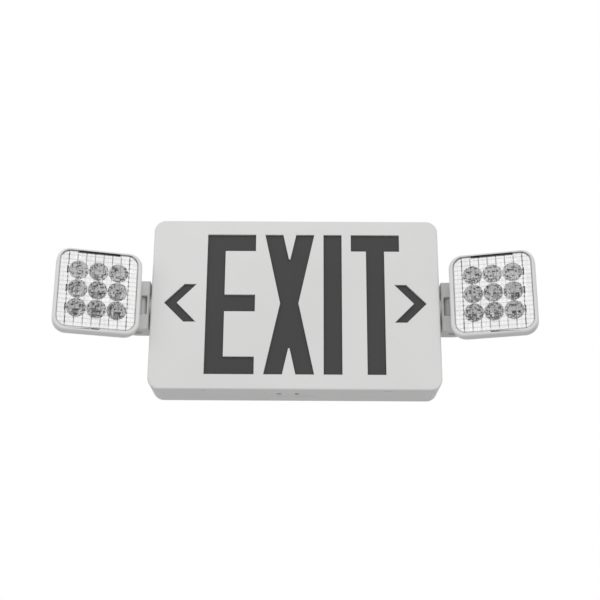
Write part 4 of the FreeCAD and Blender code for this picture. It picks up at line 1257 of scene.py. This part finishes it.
    def gasket(self) -> Workpiece:
        """Dark strip behind the lens's two snap slots: a painted shadow in the slots."""
        top, reach = self.lens_height / 2, self.slot_length + self.slot_bridge / 2
        depths = (self.lens_front + self.gasket_drop, self.lens_back)
        heights = (top - self.slot_high, top + self.gasket_drop)
        strip = self.box("lens_gasket", (-reach, reach), depths, heights)
        strip.soften(self.gasket_break)
        return strip

    def make(self, finishes: dict[str, Material]) -> None:
        """Model each piece once, place it on both sides and dress it.

        Args:
            finishes: material by slot name.
        """
        plate, cups = self.reflector()
        for piece, slot, finish in (
            (self.shell(), "head_white", "head_white"),
            (self.lens(), "lens_clear", "lens_clear"),
            (plate, "reflector_bright", "reflector_plate_bright"),
            (cups, "reflector_bright", "reflector_bright"),
            (self.gasket(), "button_dark", "gasket_dark"),
        ):
            for side in Side:
                node = f"{side.word}_{piece.item.name}"
                twin = piece.duplicate(f"{node}_detail", self.place(side))
                if piece is not cups:
                    twin.smooth(40)
                replaced = (node,) if node in frame["nodes"] else ()
                twin.close(finishes[finish], slot, f"{side.word}_head", replaced)
            piece.discard()


@dataclass
class PackedParts:
    """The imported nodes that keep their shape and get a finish."""

    finishes: dict[str, Material]

    def make(self) -> None:
        """Give every shown node the finish of its slot."""
        for row in frame["record"]["subparts"]:
            node = frame["nodes"][row["node"]]
            lamp_board = row["node"].endswith("_lamp_board")
            dress(node, self.finishes["lamp_board" if lamp_board else row["material_slot"]])
        LOG.info("%d packed nodes dressed", len(frame["nodes"]))


@dataclass
class ReturnSpring:
    """The test button's spring, between the button and the test board."""

    node: str = "test_spring"

    def make(self, material: Material) -> None:
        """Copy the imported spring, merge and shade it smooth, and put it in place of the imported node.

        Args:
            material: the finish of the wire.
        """
        coil = Workpiece.copy_of(frame["nodes"][self.node], f"{self.node}_coil")
        coil.smooth(50)
        dress(coil.item, material)
        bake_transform(coil.item)
        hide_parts(self.node)
        LOG.info("%s: bends between the button and the housing", coil.item.name)


def all_finishes() -> dict[str, Material]:
    """Every finish, by slot name or, for a piece that departs from its slot, by its own name."""
    white = (0.8, 0.8, 0.795)
    finishes = {
        "housing_white": MouldedPlastic(white, 0.46),
        "cover_white": MouldedPlastic(white, 0.46),
        "head_white": MouldedPlastic(white, 0.42, grain=3200.0),
        "arm_white": MouldedPlastic((0.74, 0.74, 0.735), 0.44, grain=3000.0),
        "legend_panel": MouldedPlastic(grey(0.072), 0.5, tint_amount=0.1, dust=0.1, specular=0.15),
        "tray_white": MouldedPlastic((0.88, 0.88, 0.87), 0.3, dust=0.1),
        "circuit_board": CircuitBoard((0.03, 0.16, 0.06), 0.35),
        "lamp_board": CircuitBoard(grey(0.07), 0.4, track=grey(0.12)),
        "lamp_chip": MouldedPlastic((0.36, 0.35, 0.3), 0.3, tint=(0.6, 0.6, 0.5), tint_amount=0.4, dust=0.0),
        "transformer_core": PlatedMetal(grey(0.2), 0.5, scratch=1500.0),
        "terminal_plastic": MouldedPlastic((0.1, 0.24, 0.14), 0.45),
        "can_metal": PlatedMetal((0.7, 0.7, 0.72), 0.32),
        "cell_wrap": MouldedPlastic((0.06, 0.18, 0.42), 0.25, grain=500.0),
        "zinc_steel": PlatedMetal((0.62, 0.62, 0.6), 0.35),
        "button_dark": MouldedPlastic(grey(0.07), 0.4),
        # painted shadow: near-black finish of the strip behind the lens's snap slots
        "gasket_dark": MouldedPlastic(grey(0.01), 0.8),
        "indicator_lens": MouldedPlastic((0.12, 0.02, 0.02), 0.2, grain=300.0, bump=0.00001),
        "nylon": MouldedPlastic((0.72, 0.71, 0.67), 0.4),
        "lens_clear": ClearPlastic(grey(1.0), 0.02),
        "reflector_bright": FacetedMirror(grey(0.98), 0.08),
        "reflector_plate_bright": PlatedMetal(grey(0.99), 0.22, contrast=0.08, spangle=40.0),
    }
    return {slot: finish.material(slot.replace("_", " ")) for slot, finish in finishes.items()}


def main() -> None:
    """Build the studio and every piece in order."""
    logging.basicConfig(level=logging.INFO, format="%(name)s: %(message)s")
    Studio().make()
    finishes = all_finishes()
    PackedParts(finishes).make()
    StencilCover().make(finishes["cover_white"])
    LampHeads().make(finishes)
    ReturnSpring().make(finishes["zinc_steel"])
    deselect_everything()


if __name__ == "__main__":
    main()
